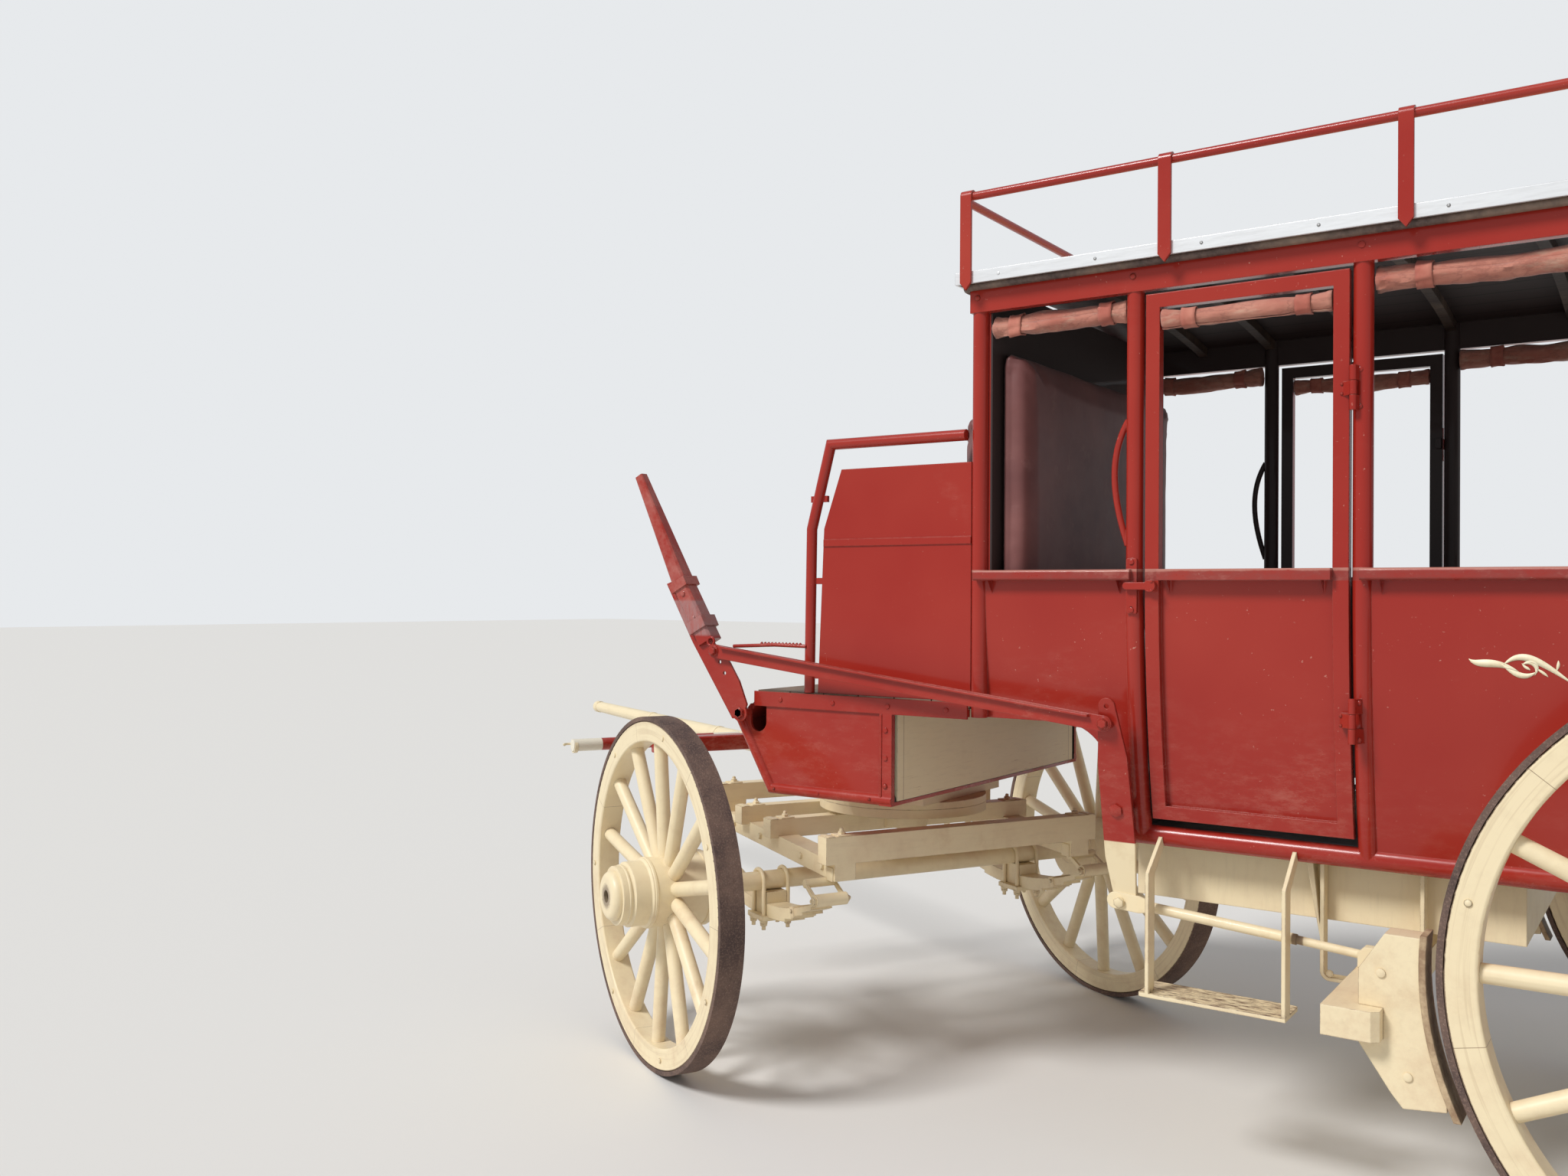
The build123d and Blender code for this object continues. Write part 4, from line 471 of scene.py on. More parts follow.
HOUND_Y = 0.475
HOUND_HALF = 0.038
HOUND_REAR = -0.413
HOUND_FRONT = 0.460
HOUND_LOW = 0.705
HOUND_HIGH = 0.750
BAR_HEIGHT = 0.056
REAR_BAR_HEIGHT = 0.080
BAR_HALF = 0.545
BARS = ((0.240, BAR_HEIGHT), (0.010, BAR_HEIGHT), (-0.385, REAR_BAR_HEIGHT))
FRONT_BEAM = (0.430, 0.850)
timber_cream = brushed_cream("cream_over_timber", dust=0.7, chips=0.8, grain=(0.35, 0.35, 3.0))
timber_cream.coat("fore_frame", "pole")


def hound_top(x):
    return HOUND_LOW + (HOUND_HIGH - HOUND_LOW) * (x - HOUND_REAR) / (HOUND_FRONT - HOUND_REAR)


form = bmesh.new()
for sign in BOTH:
    for x, top in (*((x, hound_top(x) + height) for x, height in BARS), FRONT_BEAM):
        lap = moved(carriage, x, sign * HOUND_Y, top)
        plate(form, moved(lap, 0, 0, 0.0020), (0.050, 0.050, 0.0040), 0.001)
        stud(form, moved(lap, 0, 0, 0.0040), 0.0125, 0.010)
        stud(form, moved(lap, 0, 0, 0.0140), 0.0065, 0.009, 12)
        end = moved(carriage, x, sign * (BAR_HALF - 0.020), top + 0.0012)
        plate(form, end, (0.058, 0.022, 0.0024), 0.0008)
    for x in (0.340, 0.125, -0.180, -0.330):
        through = facing(carriage, x, sign * (HOUND_Y + HOUND_HALF), hound_top(x) - 0.030, sign)
        stud(form, through, 0.011, 0.008)
    for x in (HOUND_FRONT - 0.030, HOUND_REAR + 0.030):
        band = moved(carriage, x, sign * HOUND_Y, hound_top(x) - 0.062)
        plate(form, band, (0.040, 2 * HOUND_HALF + 0.006, 0.004), 0.001)
        for face in BOTH:
            cheek = moved(band, 0, face * (HOUND_HALF + 0.0018), 0.020)
            plate(form, cheek, (0.040, 0.0036, 0.044), 0.001)
made(form, "hound_bolts", "fore_carriage", iron_cream)

# Pole
# A long tapered ash pole, banded with iron at its root, its middle and its tip.

POLE_Z = 0.895
POLE_ROOT = 0.360
POLE_RADIUS = 0.045
POLE_SLOPE = 0.015 / 2.99
form = bmesh.new()
for x, width in ((0.375, 0.035), (0.62, 0.030), (1.60, 0.030), (2.45, 0.030), (3.30, 0.045)):
    out = POLE_RADIUS - POLE_SLOPE * (x - POLE_ROOT)
    band = moved(carriage, x, 0, POLE_Z) @ Matrix.Rotation(math.pi / 2, 4, "Y")
    ring(form, band, out - 0.004, out + 0.0026, width, 32)
made(form, "pole_bands", "fore_carriage", iron_cream)

# Splinter bar and swingletrees
# Ash painted red with cream ends. A hook drives from each end and an eye bolt holds the middle.

RED = (0.335, 0.021, 0.013)
RED_FADED = (0.43, 0.050, 0.030)
RED_RUBBED = (0.55, 0.22, 0.165)
SWINGLE_X = 0.850
SWINGLE_Y = 0.615
SWINGLE_HALF = 0.355
SWINGLE_RADIUS = 0.024
SWINGLE_Z = 0.9645
CREAM_END = 0.117


def gloss_red(name, dusty_below=1.0, dust=0.35, scuffs=0.4, faded=0.5):
    """Dark red coach enamel: faded in patches, scratched, worn pink at its edges and dusty low down."""
    finish = Finish(name, Coat_Weight=0.2, Coat_Roughness=0.06, Specular_IOR_Level=0.3)
    broad = finish.noise(1.6, 3.0)
    fine = finish.noise(38.0, 5.0, 0.7)
    patches = finish.noise(3.1, 4.0, 0.6)
    smears = finish.noise(11.0, 9.0, 0.75, stretch=(1.0, 1.0, 2.4)).over(0.47, 0.68)
    scratch = finish.noise(11.0, 8.0, 0.8, stretch=(9.0, 1.0, 0.7)).over(0.67, 0.71)
    scratch *= patches.over(0.48, 0.62)
    chips = finish.noise(95.0, 3.0, 0.6).over(0.70, 0.73) * patches.over(0.42, 0.60)
    rounded, bend = worn_edges(finish, 0.004)
    worn = (bend * 2.4 * fine.over(0.40, 0.58)).over(0.1, 0.4)
    height = finish.z - finish.x.over(1.40, 1.65) * 0.28
    low = 1 - height.over(dusty_below - 0.35, dusty_below + 0.15)
    smeared = smears * (low * (0.35 + patches * 0.9) * dust + patches.over(0.60, 0.75) * scuffs * 0.25)
    aged = finish.mix(broad.over(0.4, 0.75) * faded, RED, RED_FADED)
    dusty = finish.mix(smeared.over(0, 1), aged, RED_RUBBED)
    scuffed = finish.mix((scratch * 0.45 * scuffs + chips * 0.7).over(0, 1), dusty, (0.60, 0.30, 0.235))
    return finish.set(
        Base_Color=finish.mix(worn * 0.5, scuffed, (0.45, 0.13, 0.09)),
        Roughness=0.19 + fine * 0.1 + smeared * 0.4 + scratch * 0.2,
        Normal=finish.bump(broad * 4 + fine * 0.2, 0.1, 0.0012, Normal=rounded),
    )


def drawn(form, edges):
    """Draws edges out, and gives the new points and the new edges between them."""
    fresh = bmesh.ops.extrude_edge_only(form, edges=edges)["geom"]
    verts = [v for v in fresh if isinstance(v, bmesh.types.BMVert)]
    return verts, [e for e in fresh if isinstance(e, bmesh.types.BMEdge) and all(v in verts for v in e.verts)]


def bar(form, path, radius, sides=12):
    """Draws a round bar along a path of points and closes its ends."""
    path = [Vector(point) for point in path]
    known = set(form.verts)
    heading = (path[1] - path[0]).normalized()
    turn = Vector((0, 0, 1)).rotation_difference(heading)
    place = Matrix.Translation(path[0]) @ turn.to_matrix().to_4x4()
    bmesh.ops.create_circle(form, cap_ends=True, segments=sides, radius=radius, matrix=place)
    edge = [e for e in form.edges if e.verts[0] not in known and e.verts[1] not in known]
    for i in range(1, len(path)):
        ahead = (path[min(i + 1, len(path) - 1)] - path[i - 1]).normalized()
        turn = heading.rotation_difference(ahead) @ turn
        heading = ahead
        after = Matrix.Translation(path[i]) @ turn.to_matrix().to_4x4()
        verts, edge = drawn(form, edge)
        bmesh.ops.transform(form, matrix=after @ place.inverted(), verts=verts)
        place = after
    bmesh.ops.contextual_create(form, geom=edge)


def arc(centre, radius, start, sweep, first, second, steps=16):
    """Points of an arc about a centre, in the plane of two directions."""
    turns = [start + sweep * i / steps for i in range(steps + 1)]
    return [centre + (first * math.cos(turn) + second * math.sin(turn)) * radius for turn in turns]


AHEAD, LEFT, UP = (Vector(way) for way in ((1, 0, 0), (0, 1, 0), (0, 0, 1)))
forward = carriage.to_3x3() @ AHEAD
leftward = carriage.to_3x3() @ LEFT
form = bmesh.new()
for sign in BOTH:
    for along in (0.010 - SWINGLE_HALF, SWINGLE_HALF - 0.010):
        foot = carriage @ Vector((SWINGLE_X + 0.012, sign * SWINGLE_Y + along, SWINGLE_Z))
        hook = arc(foot + forward * 0.052, 0.022, math.pi, math.pi * 1.55, forward, leftward)
        bar(form, [foot, foot + forward * 0.028] + hook, 0.0048)
        collar = facing(carriage, SWINGLE_X, sign * SWINGLE_Y + along - 0.008, SWINGLE_Z, 1)
        ring(form, collar, SWINGLE_RADIUS - 0.003, SWINGLE_RADIUS + 0.0024, 0.016, 24)
    top = SWINGLE_Z + SWINGLE_RADIUS
    eye = carriage @ Vector((SWINGLE_X - 0.015, sign * SWINGLE_Y, top + 0.002))
    bar(form, arc(eye, 0.020, 0, math.tau * 0.97, forward, leftward), 0.0055)
    stud(form, moved(carriage, 0.720, sign * SWINGLE_Y, 0.9945), 0.014, 0.012)
made(form, "swingle_hooks", "fore_carriage", iron_cream)

swingle_red = gloss_red("red_swingles", dusty_below=1.2, dust=0.6, scuffs=1.0)
swingle_red.coat("splinter_bar")
ended_red = gloss_red("red_with_cream_ends", dusty_below=1.2, dust=0.5, scuffs=1.0)
_, sideways, _ = ended_red.seen_from((WHEELBASE, 0, 0), REST_TURN)
from_middle = abs(abs(sideways) - SWINGLE_Y)
cream_from = SWINGLE_HALF - CREAM_END
ended_red.cover(from_middle.over(cream_from, cream_from + 0.002), (0.80, 0.74, 0.60))
ended_red.coat("swingletrees")

# Body sides
# Sheet panels stand behind round posts and curve in to a tube sill, all in dark red gloss enamel.
# Inside they are dark varnish, deepened into painted shade for the unlit cabin. Small brackets carry the belt
# boards, and welds show at the sill.

HALF_WIDTH = 0.698
BELT_Z = 1.630
BELT_UNDER = 1.600
TUMBLE_RADIUS = 3.2518
PANEL_Y = HALF_WIDTH - 0.014
SIDE_INNER = HALF_WIDTH - 0.0255
SILL_Y = 0.586
SILL_Z = 0.900
SILL_RADIUS = 0.029
POST_XS = (-0.420, 0.2695, 0.959, 1.539, 2.007)
HINGE_ZS = (2.073, 1.252)
LATCH_ZS = (1.585,)
SILL_WELD_XS = (-0.405, 0.2695, 0.939, 0.985, 1.515, 1.562, 1.612)
BRACKET_XS = (-0.380, 0.225, 0.315, 0.915, 1.580, 1.965)
VARNISH_AND_SHADE = (0.044, 0.029, 0.027)
BOARD_DULL_AND_SHADE = (0.26, 0.052, 0.043)
BOARD_WORN_AND_LIT = (0.52, 0.23, 0.18)


def drawn_in(z):
    """How far the body side curves in at a height below the belt."""
    return TUMBLE_RADIUS - math.sqrt(TUMBLE_RADIUS**2 - min(0, z - BELT_Z) ** 2)


def side_red(name, inner_face, **looks):
    """Red outside and, inside, dark varnish deepened into painted shade; the belt board is dulled with
    painted shade on its front and rubbed with painted light on its top.
    """
    finish = gloss_red(name, **looks)
    below = (BELT_Z - finish.z).most(0)
    from_middle = abs(finish.y) + below * below / (2 * TUMBLE_RADIUS)
    board = finish.z.between(BELT_UNDER - 0.001, BELT_Z + 0.001)
    wear = finish.noise(14.0, 6.0, 0.75, stretch=(0.6, 1.0, 1.0))
    # The board is darkened to a dull red, partly worn paint and partly painted shade, which shows on its
    # front.
    finish.cover(board * wear.over(0.30, 0.55) * 0.7, BOARD_DULL_AND_SHADE, 0.40)
    # Painted light: the board's top is made lighter as if lit from above, over real rubbing.
    rubbed = board * (finish.z.over(BELT_Z - 0.008, BELT_Z - 0.002) * 0.5 + wear).over(0.55, 0.85)
    finish.cover(rubbed * 0.75, BOARD_WORN_AND_LIT, 0.5)
    # Painted shade: the inside face is covered in the dark inside colour.
    inside = (1 - from_middle.over(inner_face - 0.0003, inner_face + 0.0003)) * (1 - board)
    return finish.cover(inside, VARNISH_AND_SHADE, 0.6)


side_red("red_body_sides", SIDE_INNER).coat("body_side_left", "body_side_right")


def lump(form, centre, size, seed):
    """A small bead of weld or solder, rounded and uneven."""
    known = set(form.verts)
    bmesh.ops.create_icosphere(form, subdivisions=2, radius=1)
    for vert in shaped(form, known, Matrix.Translation(centre) @ Matrix.Diagonal((*size, 1))):
        vert.co += (vert.co - Vector(centre)) * 0.35 * noise.noise(vert.co * 160 + Vector((seed, 0, 0)))


def bracket(form, x, sign):
    """A small three-cornered plate under the belt board."""
    corners = ((PANEL_Y, BELT_UNDER), (PANEL_Y + 0.030, BELT_UNDER), (PANEL_Y, BELT_UNDER - 0.036))
    face = form.faces.new([form.verts.new((x - 0.002, sign * y, z)) for y, z in corners])
    bmesh.ops.solidify(form, geom=[face], thickness=0.004)


def side_studs(form, signs, xs, y, zs, radius, height, sides=16):
    """Bolt heads on the coach's sides, at every pair of the lengths and heights given."""
    for sign, x, z in itertools.product(signs, xs, zs):
        stud(form, facing(coach, x, sign * y, z, sign), radius, height, sides)


def each_way(zs, half):
    """Heights below and above each of those given."""
    return [z + rise for z in zs for rise in (-half, half)]


for side, sign in SIDES:
    form = bmesh.new()
    for i, x in enumerate(SILL_WELD_XS):
        centre = (x, sign * (SILL_Y + SILL_RADIUS * 0.80), SILL_Z + SILL_RADIUS * 0.62)
        lump(form, centre, (0.017, 0.009, 0.009), i)
    for x in BRACKET_XS:
        bracket(form, x, sign)
    for z in HINGE_ZS:
        side_studs(form, (sign,), (0.962,), HALF_WIDTH - 0.0012, each_way((z,), 0.046), 0.0065, 0.004)
        for rise in (-0.0545, 0.0525):
            ring(form, moved(coach, 0.975, sign * (HALF_WIDTH + 0.014), z + rise), 0.001, 0.0078, 0.004, 20)
    striker_zs = each_way(LATCH_ZS, 0.065)
    side_studs(form, (sign,), (POST_XS[3],), HALF_WIDTH + 0.004, striker_zs, 0.0075, 0.0045, 12)
    side_studs(form, (sign,), POST_XS, HALF_WIDTH + 0.002, (2.425,), 0.0085, 0.004)
    made(form, f"side_ironwork_{side}", "coach_body", side_red(f"red_ironwork_{side}", 0.5))

# Scrolls
# A traditional flourish of leaves and curls is brushed in cream on each rear side panel.

# Four Bezier points as (x, z), widest
STROKES = (
    ((0.724, 1.414), (0.703, 1.393), (0.675, 1.419), (0.620, 1.387), 0.0180),
    ((0.652, 1.402), (0.617, 1.437), (0.590, 1.425), (0.508, 1.360), 0.0160),
    ((0.656, 1.404), (0.628, 1.382), (0.610, 1.366), (0.583, 1.389), 0.0130),
    ((0.588, 1.380), (0.574, 1.405), (0.599, 1.418), (0.613, 1.403), 0.0105),
    ((0.614, 1.407), (0.608, 1.396), (0.600, 1.396), (0.597, 1.391), 0.0060),
    ((0.586, 1.397), (0.575, 1.389), (0.567, 1.384), (0.561, 1.377), 0.0060),
    ((0.541, 1.416), (0.540, 1.408), (0.541, 1.401), (0.545, 1.391), 0.0065),
)
SCROLL_MIDDLE = Vector((0.512, 1.372, 0))
STROKE_STEPS = 20
scroll_cream = Finish("scroll_cream", Roughness=0.4)
streaks = scroll_cream.noise(60.0).over(0.4, 0.7)
scroll_cream.set(Base_Color=scroll_cream.mix(streaks, (0.93, 0.86, 0.62), (0.86, 0.75, 0.50)))


def thickened(thing, name, thickness, offset=0):
    """Gives a sheet its thickness."""
    thick = thing.modifiers.new(name, "SOLIDIFY")
    thick.thickness = thickness
    thick.offset = offset


for side, sign in SIDES:
    form = bmesh.new()
    for (*points, widest), half_turn in itertools.product(STROKES, BOTH):
        bend = [SCROLL_MIDDLE + (Vector((*point, 0)) - SCROLL_MIDDLE) * half_turn for point in points]
        line = geometry.interpolate_bezier(*bend, STROKE_STEPS)
        edge = [form.edges.new((form.verts.new(), form.verts.new()))]
        pair = list(edge[0].verts)
        for i, point in enumerate(line):
            if i:
                pair, edge = drawn(form, edge)
            along = line[min(i + 1, STROKE_STEPS - 1)] - line[max(i - 1, 0)]
            half = Vector((-along.y, along.x, 0)).normalized() * widest / 2
            half *= max(0.04, math.sin(math.pi * i / (STROKE_STEPS - 1)) ** 0.8)
            if i and (pair[0].co - pair[1].co).dot(half) < 0:
                half = -half
            for vert, spot in zip(pair, (point + half, point - half)):
                vert.co = (spot.x, sign * (PANEL_Y + 0.0005 - drawn_in(spot.y)), spot.y)
    scroll = made(form, f"scroll_{side}", "coach_body", scroll_cream, crease=80)
    thickened(scroll, "brushed_on", 0.0006)

# Doors
# Each door is a tube frame round a set-back sheet, hung on two barrel hinges and closed by a slide bar.

DOOR_INNER = HALF_WIDTH - 0.0305
door_red = side_red("red_doors", DOOR_INNER, dusty_below=1.15, dust=0.45, scuffs=0.7)
door_red.coat("door_left", "door_right")
for side, sign in SIDES:
    form = bmesh.new()
    for x in (1.050, 1.440):
        bracket(form, x, sign)
    for x, y, zs in ((1.478, HALF_WIDTH + 0.020, LATCH_ZS), (1.004, HALF_WIDTH, HINGE_ZS)):
        side_studs(form, (sign,), (x,), y, each_way(zs, 0.012), 0.004, 0.003, 12)
    ironwork_red = side_red(f"red_door_ironwork_{side}", 0.5)
    made(form, f"door_ironwork_{side}", f"{side}_door", ironwork_red)

# Cabin
# Boarded floor, benches and ceiling in dark varnish, and end walls that are red outside.
# Bent bows of the same wood carry the roof, one beside each pair of posts and one between.

CEILING = 0.050
CEILING_HALF = 0.660
ROOF_UNDER = 2.470
BOW = 0.030
BOW_XS = (-0.400, -0.090, 0.2695, 0.615, 0.959, 1.249, 1.539, 1.780)
PLANK = 0.092


def crown(y):
    """How far the ceiling rises at a distance from the middle."""
    return CEILING * (1 - (y / CEILING_HALF) ** 2)


def boards(name, pale, dark, across_x, pitch, dust=0.3):
    """Old boards laid side by side, with grain along them and dirt in the joints."""
    finish = Finish(name, Coat_Weight=0.05, Coat_Roughness=0.4)
    stretch = (14.0, 1.2, 14.0) if across_x else (1.2, 14.0, 14.0)
    grain = finish.noise(5.0, 6.0, 0.65, stretch=stretch)
    fine = finish.noise(34.0, 4.0, 0.7, stretch=stretch)
    patches = finish.noise(4.0)
    gap = (finish.x if across_x else finish.y).line(pitch, 0.0018)
    rounded, bend = worn_edges(finish, 0.003)
    wood = finish.mix(grain.over(0.35, 0.68), dark, pale)
    streaked = finish.mix(fine.over(0.52, 0.7) * 0.5, wood, dark)
    dusty = finish.mix(patches.over(0.45, 0.72) * dust, streaked, (0.42, 0.30, 0.21))
    worn = finish.mix(bend.over(0.05, 0.3) * 0.5, dusty, pale)
    return finish.set(
        Base_Color=finish.mix(gap * 0.9, worn, (0.010, 0.008, 0.007)),
        Roughness=0.55 + fine * 0.2,
        Normal=finish.bump(grain + fine * 0.4 - gap * 2.5, 0.35, 0.0015, Normal=rounded),
    )


cabin_wood = boards("cabin_boards", (0.075, 0.045, 0.030), (0.030, 0.019, 0.014), False, PLANK)
cabin_wood.coat("floor", "benches")
front_red = gloss_red("red_front_wall", dusty_below=1.3, dust=0.5)
# Painted shade: the front wall's inside faces take the dark inside colour.
under_box = (1 - front_red.z.over(1.2055, 1.2065)) * front_red.x.over(1.6185, 1.6195)
outer_face = front_red.x.over(1.9765, 1.9775).most(under_box)
front_red.cover(1 - outer_face, VARNISH_AND_SHADE, 0.6).coat("front_wall")
rear_red = gloss_red("red_rear_wall", dusty_below=1.3, dust=0.5)
# Painted shade: the rear wall's inside face takes the dark inside colour.
rear_red.cover(rear_red.x.over(-0.3905, -0.3895), VARNISH_AND_SHADE, 0.6).coat("rear_wall")
well_cream = brushed_cream("cream_well", dust=0.75, chips=0.6, grain=(3.0, 0.4, 0.4))
well_cream.coat("well")

form = bmesh.new()
for x in BOW_XS:
    size = Matrix.Diagonal((BOW, 2 * CEILING_HALF, BOW, 1))
    bmesh.ops.create_cube(form, size=1, matrix=moved(coach, x, 0, ROOF_UNDER - 0.0155) @ size)
long = [edge for edge in form.edges if edge.calc_length() > 1]
bmesh.ops.subdivide_edges(form, edges=long, cuts=17, use_grid_fill=True)
for vert in form.verts:
    vert.co.z += crown(vert.co.y)
made(form, "ceiling_bows", "coach_body", cabin_wood)

# Roof
# Boards under painted canvas, pale and dusty on top, and below in the dark inside colour, which is varnish
# deepened into painted shade.
# A polished strip runs round its edge, over a half-round moulding of weathered wood, coloured darker as
# painted shade under the overhang.

canvas_top = brushed_cream("roof_canvas", dust=0.0, chips=0.3)
soot = canvas_top.noise(3.5, 6.0, 0.65)
canvas_top.cover(soot.over(0.40, 0.75) * 0.7, (0.36, 0.30, 0.25), 0.8)
rise = (1 - (canvas_top.y / CEILING_HALF).power(2)) * CEILING
# Painted shade: the roof's underside takes the dark inside colour, with black joints between its boards.
lower = 1 - (canvas_top.z - rise).over(ROOF_UNDER + 0.004, ROOF_UNDER + 0.006)
canvas_top.cover(lower, VARNISH_AND_SHADE, 0.7)
canvas_top.cover(lower * canvas_top.y.line(PLANK, 0.002), (0.004, 0.003, 0.003))
canvas_top.coat("roof")

strip = Finish("polished_strip", Metallic=0.35, Coat_Weight=0.15)
dents = strip.noise(7.0, 4.0, 0.6, stretch=(1.0, 1.0, 3.0))
wipes = strip.noise(20.0, 6.0, 0.7, stretch=(0.3, 1.0, 4.0))
rounded, bend = worn_edges(strip, 0.003)
tarnish = strip.mix(wipes.over(0.45, 0.75) * 0.5, (0.82, 0.83, 0.84), (0.50, 0.50, 0.50))
strip.set(
    Base_Color=strip.mix(bend.over(0.06, 0.3) * 0.5, tarnish, (0.30, 0.27, 0.25)),
    Roughness=0.22 + wipes * 0.25,
    Normal=strip.bump(dents * 3 + wipes * 0.3, 0.2, 0.0015, Normal=rounded),
)
strip.coat("roof_band")

BEAD_FRONT = 2.0435
BEAD_REAR = -0.4565
BEAD_Y = 0.7145
BEAD_Z = 2.4565
BEAD_TURN = 0.030
STRIP_NAIL_XS = [-0.40 + i * 0.29 for i in range(9)]
# Painted shade: the moulding's dark brown stands for the shadow under the roof's overhang, along with
# weathered wood.
bead_wood_and_shade = boards("moulding_with_painted_shade", (0.165, 0.110, 0.088), (0.060, 0.040, 0.034), True, 5.0, dust=0.5)
rear_x = BEAD_REAR + BEAD_TURN
front_x = BEAD_FRONT - BEAD_TURN
loop = [Vector((BEAD_REAR, 0, BEAD_Z))]
for x, sign, start in ((rear_x, -1, 180), (front_x, -1, 270), (front_x, 1, 0), (rear_x, 1, 90)):
    centre = Vector((x, sign * (BEAD_Y - BEAD_TURN), BEAD_Z))
    loop += arc(centre, BEAD_TURN, math.radians(start), math.pi / 2, AHEAD, LEFT, 6)
loop.append(Vector((BEAD_REAR, -0.002, BEAD_Z)))
form = bmesh.new()
bar(form, loop, 0.0125, 14)
made(form, "roof_moulding", "coach_body", bead_wood_and_shade)
form = bmesh.new()
for x in STRIP_NAIL_XS:
    side_studs(form, BOTH, (x,), 0.7432, (2.4775,), 0.0045, 0.0018, 12)
made(form, "strip_nails", "coach_body", strip)

# Roof rack
# Flat bars stand on the roof's edge and fold over a tube rail. Rivets hold their feet, and welds the rail.

RACK_FRONT = 2.021
RACK_PITCH = 0.585
RACK_XS = [RACK_FRONT - i * RACK_PITCH for i in range(5)]
RACK_FACE = 0.7516
RAIL_Y = 0.7336
RACK_Z = 2.714
rack_red = gloss_red("red_rack", dusty_below=0.0, dust=0.0, scuffs=0.8, faded=0.9)
rack_red.coat("roof_rack")
form = bmesh.new()
for sign, (i, x) in itertools.product(BOTH, enumerate(RACK_XS)):
    side_studs(form, (sign,), (x,), RACK_FACE, (2.4560, 2.4860), 0.0075, 0.0040)
    for weld_x, seed in ((x + 0.019, i), (x - 0.019, i + 9)):
        lump(form, (weld_x, sign * (RAIL_Y + 0.004), RACK_Z - 0.006), (0.008, 0.010, 0.009), seed)
made(form, "rack_rivets", "coach_body", rack_red)

# Driver's box
# Sheet sides are riveted inside bent tubes, with a grab bar welded before the front one.
# The foot boards are old planks, dark with boot dirt on top and pale along their cut edges.

BOX_Y = 0.684
GRAB = ((2.541, 2.000), (2.562, 2.004), (2.576, 1.990), (2.632, 1.786), (2.630, 1.768), (2.596, 1.762))
box_red = gloss_red("red_box", dusty_below=0.9, dust=0.2, scuffs=1.2)
# Painted shade: the inside faces of the box sides take the dark inside colour.
box_red.cover((1 - abs(box_red.y).over(0.6722, 0.6728)) * (1 - box_red.x.over(2.50, 2.51)), VARNISH_AND_SHADE, 0.6)
box_red.coat("driver_box")
form = bmesh.new()
for sign in BOTH:
    bar(form, [(x, sign * BOX_Y, z) for x, z in GRAB], 0.0068)
    for x, z in (GRAB[0], GRAB[-1]):
        lump(form, (x, sign * (BOX_Y + 0.008), z), (0.011, 0.010, 0.011), x)
    side_studs(form, (sign,), (2.045,), BOX_Y, [1.285 + i * 0.075 for i in range(7)], 0.0055, 0.0030, 12)
    side_studs(form, (sign,), (2.10, 2.22, 2.34, 2.46), BOX_Y, (1.268, 1.925), 0.0055, 0.0030, 12)
made(form, "box_ironwork", "coach_body", box_red)

foot_planks = boards("foot_planks", (0.36, 0.23, 0.145), (0.115, 0.070, 0.048), False, 9.0, dust=0.6)
trodden = foot_planks.z.over(1.2435, 1.2442) * foot_planks.noise(5.0, 5.0).over(0.30, 0.60)
foot_planks.cover(trodden * 0.6, (0.10, 0.065, 0.047), 0.7).coat("foot_boards")

# Boot
# A sheet box bolted under the foot boards, painted near black inside as painted shade, with round mouldings
# on its lower edges.
# Its back is a cream board, scratched along its foot where loads were pushed against it.

BOOT_Y = 0.698
BOOT_REAR = 2.285
boot_red = gloss_red("red_boot", dusty_below=0.95, dust=0.25, scuffs=0.8)
behind_slope = 1 - (boot_red.x - boot_red.z * 0.5).over(2.2755, 2.2765)
below_nose = 1 - (boot_red.x + boot_red.z * 0.87).over(3.8505, 3.8515)
between_sides = 1 - abs(boot_red.y).over(0.6864, 0.6870)
# Painted shade: the boot's inside faces are painted near black.
boot_inside_shade = between_sides * behind_slope * below_nose * boot_red.z.over(0.9250, 0.9256)
boot_red.cover(boot_inside_shade, (0.012, 0.010, 0.010), 0.8).coat("boot")

back_cream = brushed_cream("cream_boot_back", dust=0.35, grain=(0.4, 0.4, 4.0))
drags = back_cream.noise(9.0, 8.0, 0.8, stretch=(1.0, 0.5, 12.0)).over(0.58, 0.66)
back_cream.cover(drags * (1 - back_cream.z.over(0.95, 1.02)) * 0.8, (0.34, 0.17, 0.09), 0.6)
back_cream.cover((abs(back_cream.y) - 0.630).between(0, 0.0030, 0.0006) * 0.8, (0.33, 0.20, 0.12))
back_cream.coat("boot_back")
form = bmesh.new()
for sign in BOTH:
    side_studs(form, (sign,), (BOOT_REAR + 0.022,), BOOT_Y + 0.008, (0.975, 1.060, 1.145), 0.0080, 0.0050)
    strap = moved(coach, BOOT_REAR + 0.037, sign * (BOOT_Y + 0.009), 1.066)
    plate(form, strap, (0.006, 0.004, 0.256), 0.0012)
    side_studs(form, (sign,), (2.10, 2.30, 2.50, 2.70), BOOT_Y + 0.008, (1.218,), 0.0075, 0.0045)
    side_studs(form, (sign,), (2.36, 2.55, 2.72), BOOT_Y + 0.013, (0.931,), 0.0050, 0.0025, 12)
made(form, "boot_bolts", "coach_body", boot_red)

# Steps
# A flat bar is bent into a stirrup and welded to the sill tube, with a plate tread across its foot.
# Boots have worn the tread to bare iron.

